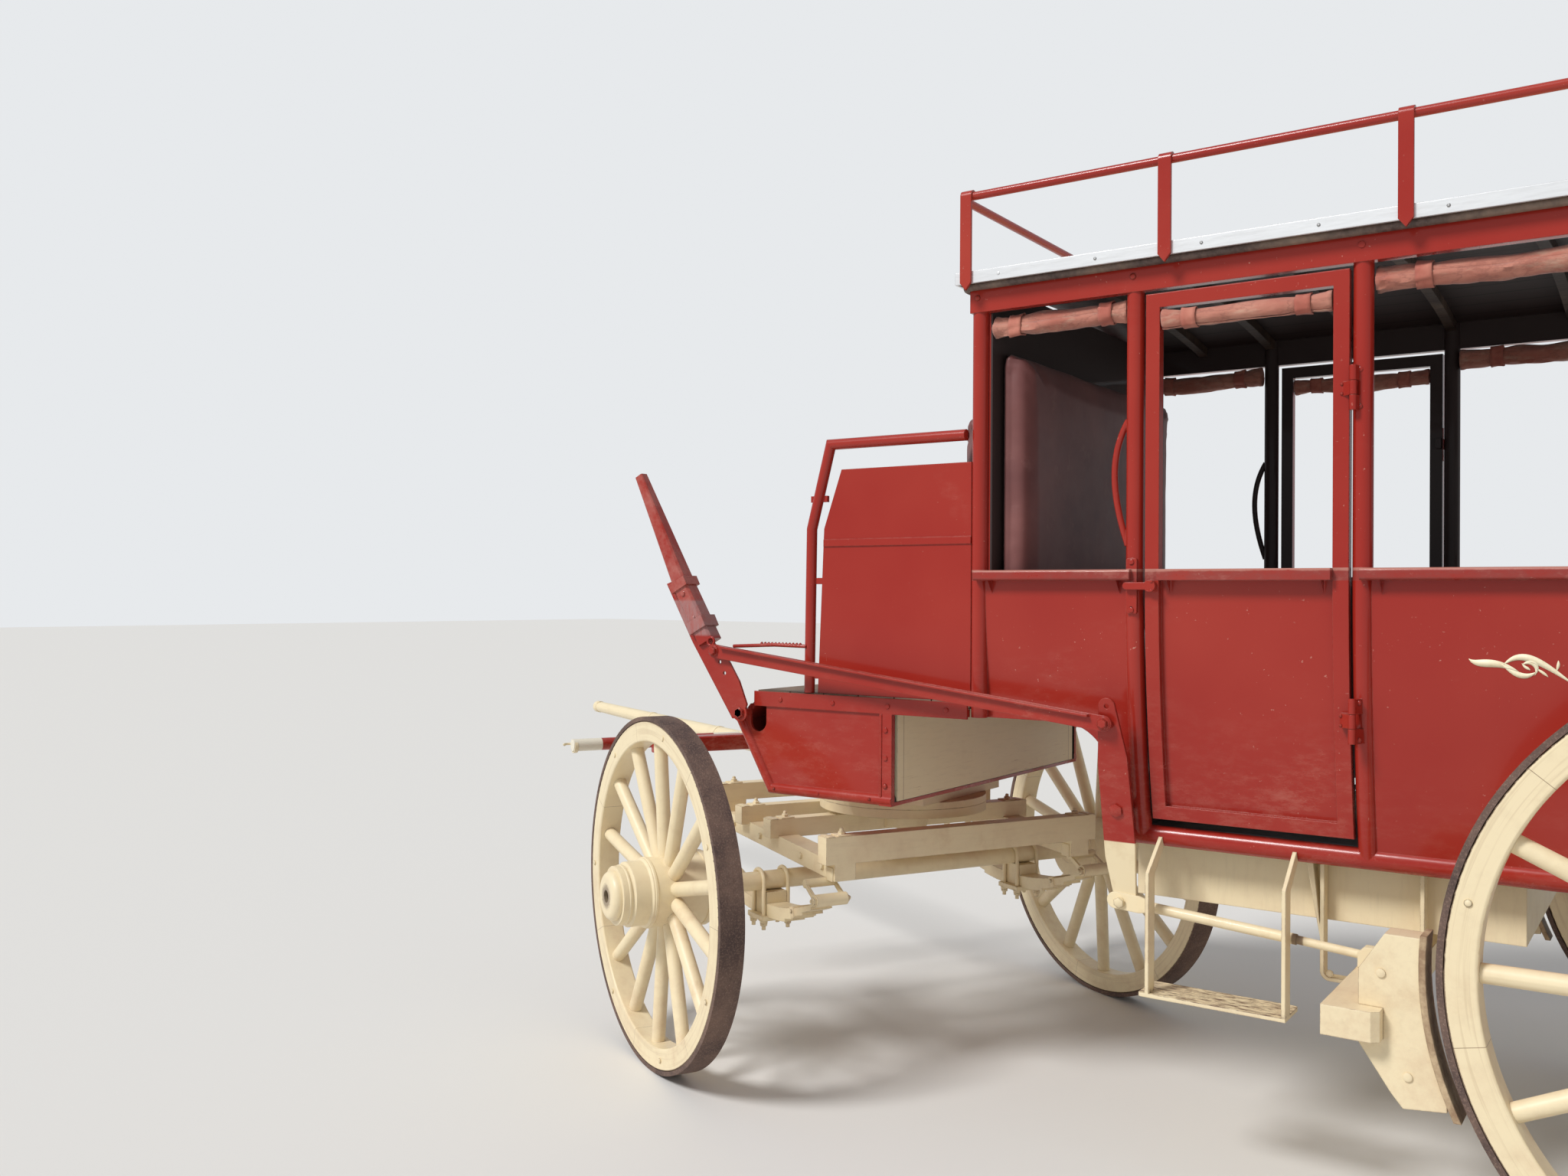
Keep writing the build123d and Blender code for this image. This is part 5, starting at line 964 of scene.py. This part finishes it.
step_cream = brushed_cream("cream_steps", chips=1.0, under=(0.12, 0.06, 0.04))
scraped = step_cream.noise(22.0, 6.0, 0.75, stretch=(1.0, 3.0, 1.0)).over(0.44, 0.62)
on_tread = step_cream.z.over(0.4965, 0.4975) * (1 - step_cream.z.over(0.500, 0.510))
step_cream.cover(on_tread * scraped, (0.16, 0.09, 0.06), 0.5)
step_cream.coat("step_left", "step_right")
form = bmesh.new()
for sign, (i, x), dx in itertools.product(BOTH, enumerate((1.132, 1.484)), (-0.005, 0.005)):
    lump(form, (x + dx, sign * 0.6135, 0.893), (0.006, 0.006, 0.014), i + dx)
made(form, "step_welds", "coach_body", step_cream)

# Brake
# The lever's plate is bolted to a timber handle in two iron collars. Its pull bar turns a plate crank.
# The crank is red down to the sill and cream below it, as is all that it draws.

LEVER_X = 2.832
LEVER_Z = 1.172
HANDLE_FACE = 0.763
CRANK_X = 1.590
CRANK_Z = 1.214
CRANK_LEAN = math.radians(11.5)
SILL_LINE = 0.885
lever_red = gloss_red("red_lever", dust=0.3, scuffs=1.5, faded=0.9)
handled = lever_red.noise(6.0, 6.0, 0.7).over(0.42, 0.66) * lever_red.z.over(1.42, 1.46)
lever_red.cover(handled * 0.7, (0.50, 0.20, 0.165), 0.45)
flaked = lever_red.noise(9.0, 7.0, 0.75, stretch=(4.0, 1.0, 1.0)).over(0.30, 0.55)
lever_red.cover(lever_red.z.between(1.420, 1.535, 0.004) * flaked * 0.85, (0.36, 0.19, 0.18), 0.6)
lever_red.coat("brake_lever")
rod_red = gloss_red("red_crank_over_cream", dust=0.3, scuffs=1.6, faded=0.7)
stained = rod_red.noise(8.0, 6.0, 0.7).over(0.50, 0.75) * 0.6
lower_cream = rod_red.mix(stained, CREAM, CREAM_STAINED)
rod_red.cover(1 - rod_red.z.over(SILL_LINE - 0.0015, SILL_LINE + 0.0015), lower_cream, 0.42)
collar = rod_red.x.between(1.100, 1.128, 0.002) * (1 - rod_red.z.over(0.73, 0.74))
rod_red.cover(collar * 0.8, (0.16, 0.09, 0.055), 0.7)
rod_red.coat("brake_rods")
beam_cream = brushed_cream("cream_brake_timber", dust=0.6, chips=1.1, grain=(3.0, 0.4, 3.0))
from_axle = (beam_cream.x * beam_cream.x + (beam_cream.z - REAR_RADIUS).power(2)).power(0.5)
lining = (1 - from_axle.over(0.7788, 0.7794)) * abs(beam_cream.y).over(0.88, 0.89)
scorched = beam_cream.noise(18.0, 6.0, 0.75)
# Painted shade: the lining facing the wheel is tan and brown, standing for cream in the shaded gap to the
# wheel, as well as wear.
lining_wear_and_shade = beam_cream.mix(scorched.over(0.40, 0.65), (0.30, 0.19, 0.11), (0.55, 0.41, 0.25))
beam_cream.cover(lining, lining_wear_and_shade, 0.8)
beam_cream.coat("brake_beam", "brake_blocks")

lean = Matrix.Rotation(-math.radians(62), 4, "Y")
form = bmesh.new()
handle_y = HANDLE_FACE - 0.031
start = moved(coach, LEVER_X + 0.196, handle_y, LEVER_Z + 0.324) @ lean
plate(form, moved(start, 0, 0, -0.0335), (0.165, 0.026, 0.004), 0.001)
for along in (-0.062, 0.062):
    stud(form, moved(start, along, 0, -0.0350) @ UPSIDE_DOWN, 0.0075, 0.0050, 12)
for dx, dz in ((0.185, 0.303), (0.230, 0.385)):
    stud(form, facing(coach, LEVER_X + dx, HANDLE_FACE, LEVER_Z + dz, 1), 0.0085, 0.0050, 16)
stud(form, facing(coach, LEVER_X, 0.749, LEVER_Z, 1), 0.0190, 0.0100)
bar(form, [(2.605, 0.700, 1.392), (2.72, 0.7135, 1.394), (2.878, 0.7225, 1.386)], 0.0060)
for i in range(12):
    tooth = moved(coach, 2.625 + i * 0.013, 0.7045 + i * 0.0011, 1.3990)
    plate(form, tooth @ Matrix.Rotation(0.6, 4, "Y"), (0.007, 0.006, 0.006), 0.0008)
made(form, "lever_ironwork", "coach_body", lever_red)

form = bmesh.new()
link = arc(Vector((2.9395, 0.765, 1.4015)), 0.0135, -0.6 * math.pi, math.tau * 0.96, AHEAD, UP)
bar(form, link, 0.0042)
for x, z in ((LEVER_X + 0.093, 1.370), (CRANK_X, CRANK_Z)):
    ring(form, facing(coach, x, 0.7690, z, 1), 0.008, 0.0190, 0.0025, 24)
    stud(form, facing(coach, x, 0.7712, z, 1), 0.0150, 0.0115)
for drop, behind, face, size in ((-0.244, 0.011, 0.0042, 0.0190), (-0.505, 0.006, 0.0160, 0.0160)):
    y = 0.745 + drop * math.sin(CRANK_LEAN)
    z = CRANK_Z + drop * math.cos(CRANK_LEAN)
    out = moved(coach, CRANK_X - behind, y, z) @ Matrix.Rotation(-math.pi / 2 - CRANK_LEAN, 4, "X")
    stud(form, moved(out, 0, 0, face), size, 0.0090)
made(form, "brake_bolts", "coach_body", rod_red)

form = bmesh.new()
for sign in BOTH:
    side_studs(form, (sign,), (0.862, 1.060), 0.5502, (0.585,), 0.0095, 0.0070, 6)
    for x, z in ((0.800, 0.500), (0.856, 0.720)):
        side_studs(form, (sign,), (x,), 0.9802, (z,), 0.0100, 0.0055)
made(form, "beam_bolts", "coach_body", beam_cream)

# Blinds
# Dusty red canvas, rolled up tight under the head of each opening and held by two webbing straps.
# Each is one long sheet wound on itself, lumpy, pinched at its straps and flared at its hems.



def threads(finish, way, scale, distortion=0.0):
    """The ridges of a woven cloth, running one way."""
    settings = {"wave_type": "BANDS", "bands_direction": way}
    return finish.node("TexWave", settings, Vector=finish.place, Scale=scale, Distortion=distortion)


canvas = Finish("blind_canvas", Roughness=0.9, Sheen_Weight=0.25, Sheen_Roughness=0.6)
canvas.set(Specular_IOR_Level=0.15)
weave = threads(canvas, "X", 240.0, 0.6) * 0.5 + threads(canvas, "Z", 240.0, 0.6) * 0.5
faded = canvas.noise(6.0, 5.0, 0.6)
smudge = canvas.noise(17.0, 6.0, 0.7, stretch=(0.6, 1.0, 2.2))
cloth = canvas.mix(faded.over(0.35, 0.7), (0.46, 0.150, 0.105), (0.60, 0.285, 0.205))
woven = canvas.mix(weave * 0.12, cloth, (0.16, 0.05, 0.04))
rumples = abs(canvas.noise(13.0, 5.0, 0.6, stretch=(1.0, 1.4, 2.2)) - 0.5)
# Painted shade: the canvas is darkened along the valleys of its rumples.
crease_shaded = canvas.mix((1 - rumples.over(0.0, 0.045)) * 0.35, woven, (0.22, 0.075, 0.060))
canvas.set(
    Base_Color=canvas.mix(smudge.over(0.54, 0.74) * 0.6, crease_shaded, (0.56, 0.42, 0.31)),
    Normal=canvas.bump(weave * 0.2 + rumples * 9, 0.5, 0.0014),
)
webbing = Finish("blind_webbing", Roughness=0.85, Sheen_Weight=0.2)
webbing.set(
    Base_Color=webbing.mix(webbing.noise(14.0).over(0.4, 0.7), (0.46, 0.130, 0.090), (0.60, 0.235, 0.165)),
    Normal=webbing.bump(threads(webbing, "DIAGONAL", 330.0), 0.4, 0.0008),
)
CANVAS_PITCH = 0.0042
CORE = 0.011
STRAP_HALF = 0.019
HEM = 0.017


class Roll:
    """A blind wound up between two posts, as its length, its place and how it sags and swells."""

    def __init__(self, side, rear, front, y, z, radius, seed):
        self.side = side
        self.rear = rear
        self.front = front
        self.y = y
        self.z = z
        self.radius = radius
        self.seed = seed
        width = front - rear
        drift = 0.02 * noise.noise(Vector((seed, 2, 0)))
        self.straps = (rear + width * 0.17 + drift, front - width * 0.17)

    def swelling(self, x, angle):
        """How much thicker or thinner the roll is at a place along it and round it."""
        way = Vector((x * 6.0 + self.seed * 3.1, math.cos(angle) * 0.8, math.sin(angle) * 0.8 + self.seed))
        swell = noise.noise(way) * 0.16 + noise.noise(way * 2.7) * 0.07
        slant = x * 9.0 + math.cos(angle) * 1.6
        fold = 0.34 * abs(noise.noise(Vector((slant + self.seed, math.sin(angle) * 1.2, x * 3.0)))) - 0.08
        pinch = sum(math.exp(-(((x - strap) / 0.030) ** 2)) for strap in self.straps)
        hem = sum(abs(x - end) < HEM for end in (self.rear, self.front))
        return 0.90 + swell + fold - 0.15 * pinch + 0.07 * hem

    def spot(self, x, angle, out):
        """Where a point of the wound sheet lies once the roll has sagged in its straps."""
        droop = math.sin(math.pi * (x - self.rear) / (self.front - self.rear))
        sag = 0.010 * droop * (0.6 + noise.noise(Vector((x * 3, self.seed, 0))))
        size = out * self.swelling(x, angle)
        away = self.side * size * math.cos(angle) * 0.92
        return Vector((x, self.y + away, self.z + size * math.sin(angle) * 1.02 - sag))


def drawn_out(form, edges, step, times):
    """Draws edges along by equal steps."""
    for _ in range(times):
        verts, edges = drawn(form, edges)
        bmesh.ops.translate(form, verts=verts, vec=step)


def rolled_blind(name, body, node, roll):
    """Winds a blind, straps it up and puts it in its solid's place."""
    turns = (roll.radius - CORE) / CANVAS_PITCH
    points = int(turns * 18)
    width = roll.front - roll.rear
    form = bmesh.new()
    curl = [form.verts.new((roll.rear, i, 0)) for i in range(points + 1)]
    edges = [form.edges.new(pair) for pair in zip(curl, curl[1:])]
    steps = int(width / 0.0085)
    drawn_out(form, edges, (width / steps, 0, 0), steps)
    for vert in form.verts:
        share = vert.co.y / points
        vert.co = roll.spot(vert.co.x, turns * math.tau * share - 2.2, CORE + (roll.radius - CORE) * share)
    length = sum(face.calc_area() for face in form.faces) / width
    blind = made(form, name, body, canvas, crease=60)
    thickened(blind, "cloth", 0.0011)
    form = bmesh.new()
    for strap in roll.straps:
        known = set(form.verts)
        bmesh.ops.create_circle(form, segments=40, radius=1)
        drawn_out(form, [e for e in form.edges if e.verts[0] not in known], (0, 0, 0.25), 4)
        for vert in set(form.verts) - known:
            angle = math.atan2(vert.co.y, vert.co.x)
            vert.co = roll.spot(strap + (vert.co.z * 2 - 1) * STRAP_HALF, angle, roll.radius + 0.0035)
    straps = made(form, name + "_straps", body, webbing, crease=60)
    thickened(straps, "webbing", 0.0022, 1)
    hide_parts(node)


WINDOWS = ((-0.384, 0.243), (0.296, 0.932), (1.566, 1.968))
for side, sign in SIDES:
    for place, (rear, front) in enumerate(WINDOWS):
        roll = Roll(sign, rear, front, sign * 0.652, 2.345, 0.0335, place + sign * 0.4 + 3)
        rolled_blind(f"blind_{side}_{place + 1}", "coach_body", f"blinds_{side}", roll)
    low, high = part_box(f"door_blind_{side}")
    roll = Roll(sign, low.x + 0.004, high.x - 0.004, sign * 0.682, 2.302, 0.0285, 7.3 + sign)
    rolled_blind(f"door_roll_{side}", f"{side}_door", f"door_blind_{side}", roll)

# Seats and padded backs
# Maroon vinyl over foam and horsehair, with rounded edges and gathered corners.
# Cushions lie on boarded benches; the backs are tacked to the bulkheads.

vinyl = Finish("maroon_vinyl", Coat_Weight=0.12, Coat_Roughness=0.35, Sheen_Weight=0.1)
pores = vinyl.node("TexVoronoi", {}, Vector=vinyl.place, Scale=420.0)
creases = vinyl.noise(13.0, 6.0, 0.65)
rubbed = vinyl.noise(3.2)
hide = vinyl.mix(rubbed.over(0.35, 0.7), (0.135, 0.036, 0.034), (0.235, 0.080, 0.070))
vinyl.set(
    Base_Color=vinyl.mix(creases.over(0.58, 0.75) * 0.4, hide, (0.33, 0.15, 0.13)),
    Roughness=0.48 + creases * 0.2,
    Normal=vinyl.bump(pores * 0.25 + creases, 0.25, 0.0012),
)
PAD_SWELL = 0.016
PAD_VOXEL = 0.012
PAD_STEPS = 16
PAD_CLOTH = {
    "quality": 3, "mass": 0.3, "tension_stiffness": 12, "compression_stiffness": 8, "bending_stiffness": 1.5,
    "use_pressure": True, "uniform_pressure_force": 4, "vertex_group_mass": "held",
}


def applied(thing):
    """Takes what a piece's modifiers make of it as its mesh."""
    mesh = bpy.data.meshes.new_from_object(thing.evaluated_get(bpy.context.evaluated_depsgraph_get()))
    old = thing.data
    thing.modifiers.clear()
    thing.data = mesh
    bpy.data.meshes.remove(old)


def inflated(pad):
    """Swells a pad under pressure, held still where it rests."""
    cloth = pad.modifiers.new("cloth", "CLOTH")
    for setting, value in PAD_CLOTH.items():
        setattr(cloth.settings, setting, value)
    cloth.settings.effector_weights.gravity = 0
    cloth.point_cache.frame_start = 1
    cloth.point_cache.frame_end = PAD_STEPS
    for step in range(1, PAD_STEPS + 1):
        bpy.context.scene.frame_set(step)
    applied(pad)
    bpy.context.scene.frame_set(1)


def stuffed(name, node, held_side, corner, seams, seed):
    """A pad that fills its solid's box, crowned away from the side that it is held on."""
    low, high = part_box(node)
    size = high - low
    middle = (low + high) / 2
    form = bmesh.new()
    inner = Matrix.Diagonal((*(size - Vector((0.008, 0.008, 0.008))), 1))
    bmesh.ops.create_cube(form, size=1, matrix=Matrix.Translation(middle) @ inner)
    edges = form.edges[:]
    bmesh.ops.bevel(form, geom=edges, offset=corner, affect="EDGES", segments=3, profile=0.5, material=-1)
    pad = made(form, name, "coach_body", vinyl, crease=80)
    even = pad.modifiers.new("even", "REMESH")
    even.mode = "VOXEL"
    even.voxel_size = PAD_VOXEL
    applied(pad)
    axis, sign = held_side
    rest = low[axis] if sign < 0 else high[axis]
    start = [vert.co.copy() for vert in pad.data.vertices]
    held = pad.vertex_groups.new(name="held")
    held.add([i for i, spot in enumerate(start) if abs(spot[axis] - rest) < size[axis] * 0.3], 1.0, "REPLACE")
    inflated(pad)
    for vert, was in zip(pad.data.vertices, start):
        moved = vert.co - was
        if moved.length > PAD_SWELL:
            moved *= PAD_SWELL / moved.length
        spot = was + moved
        if abs(was[axis] - rest) > size[axis] * 0.3:
            out = (spot - middle).normalized()
            spot += out * noise.noise(spot * 9 + Vector((seed, 0, 0))) * 0.0035
            spot += out * noise.noise(spot * 31) * 0.0012
            for seam in seams:
                spot -= out * 0.008 * math.exp(-(((spot.y - seam) / 0.010) ** 2))
        vert.co = Vector(min(max(spot[i], low[i] + 0.0005), high[i] + 0.012) for i in range(3))
    pad.data.shade_smooth()
    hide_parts(node)


# Piece, node, the side it is held on as axis and sign, rounding, seams, seed
PADS = (
    ("padded_bulkhead", "back_front", (0, 1), 0.040, (), 1),
    ("seat_pad_front", "cushion_front", (2, -1), 0.032, (-0.3, 0.3), 2),
    ("seat_pad_rear", "cushion_rear", (2, -1), 0.032, (-0.3, 0.3), 3),
    ("back_pad_rear", "back_rear", (0, -1), 0.036, (-0.3, 0.3), 4),
    ("driver_pad", "cushion_driver", (2, -1), 0.032, (0,), 5),
    ("driver_back_pad", "back_driver", (0, -1), 0.026, (0,), 6),
)
for pad in PADS:
    stuffed(*pad)
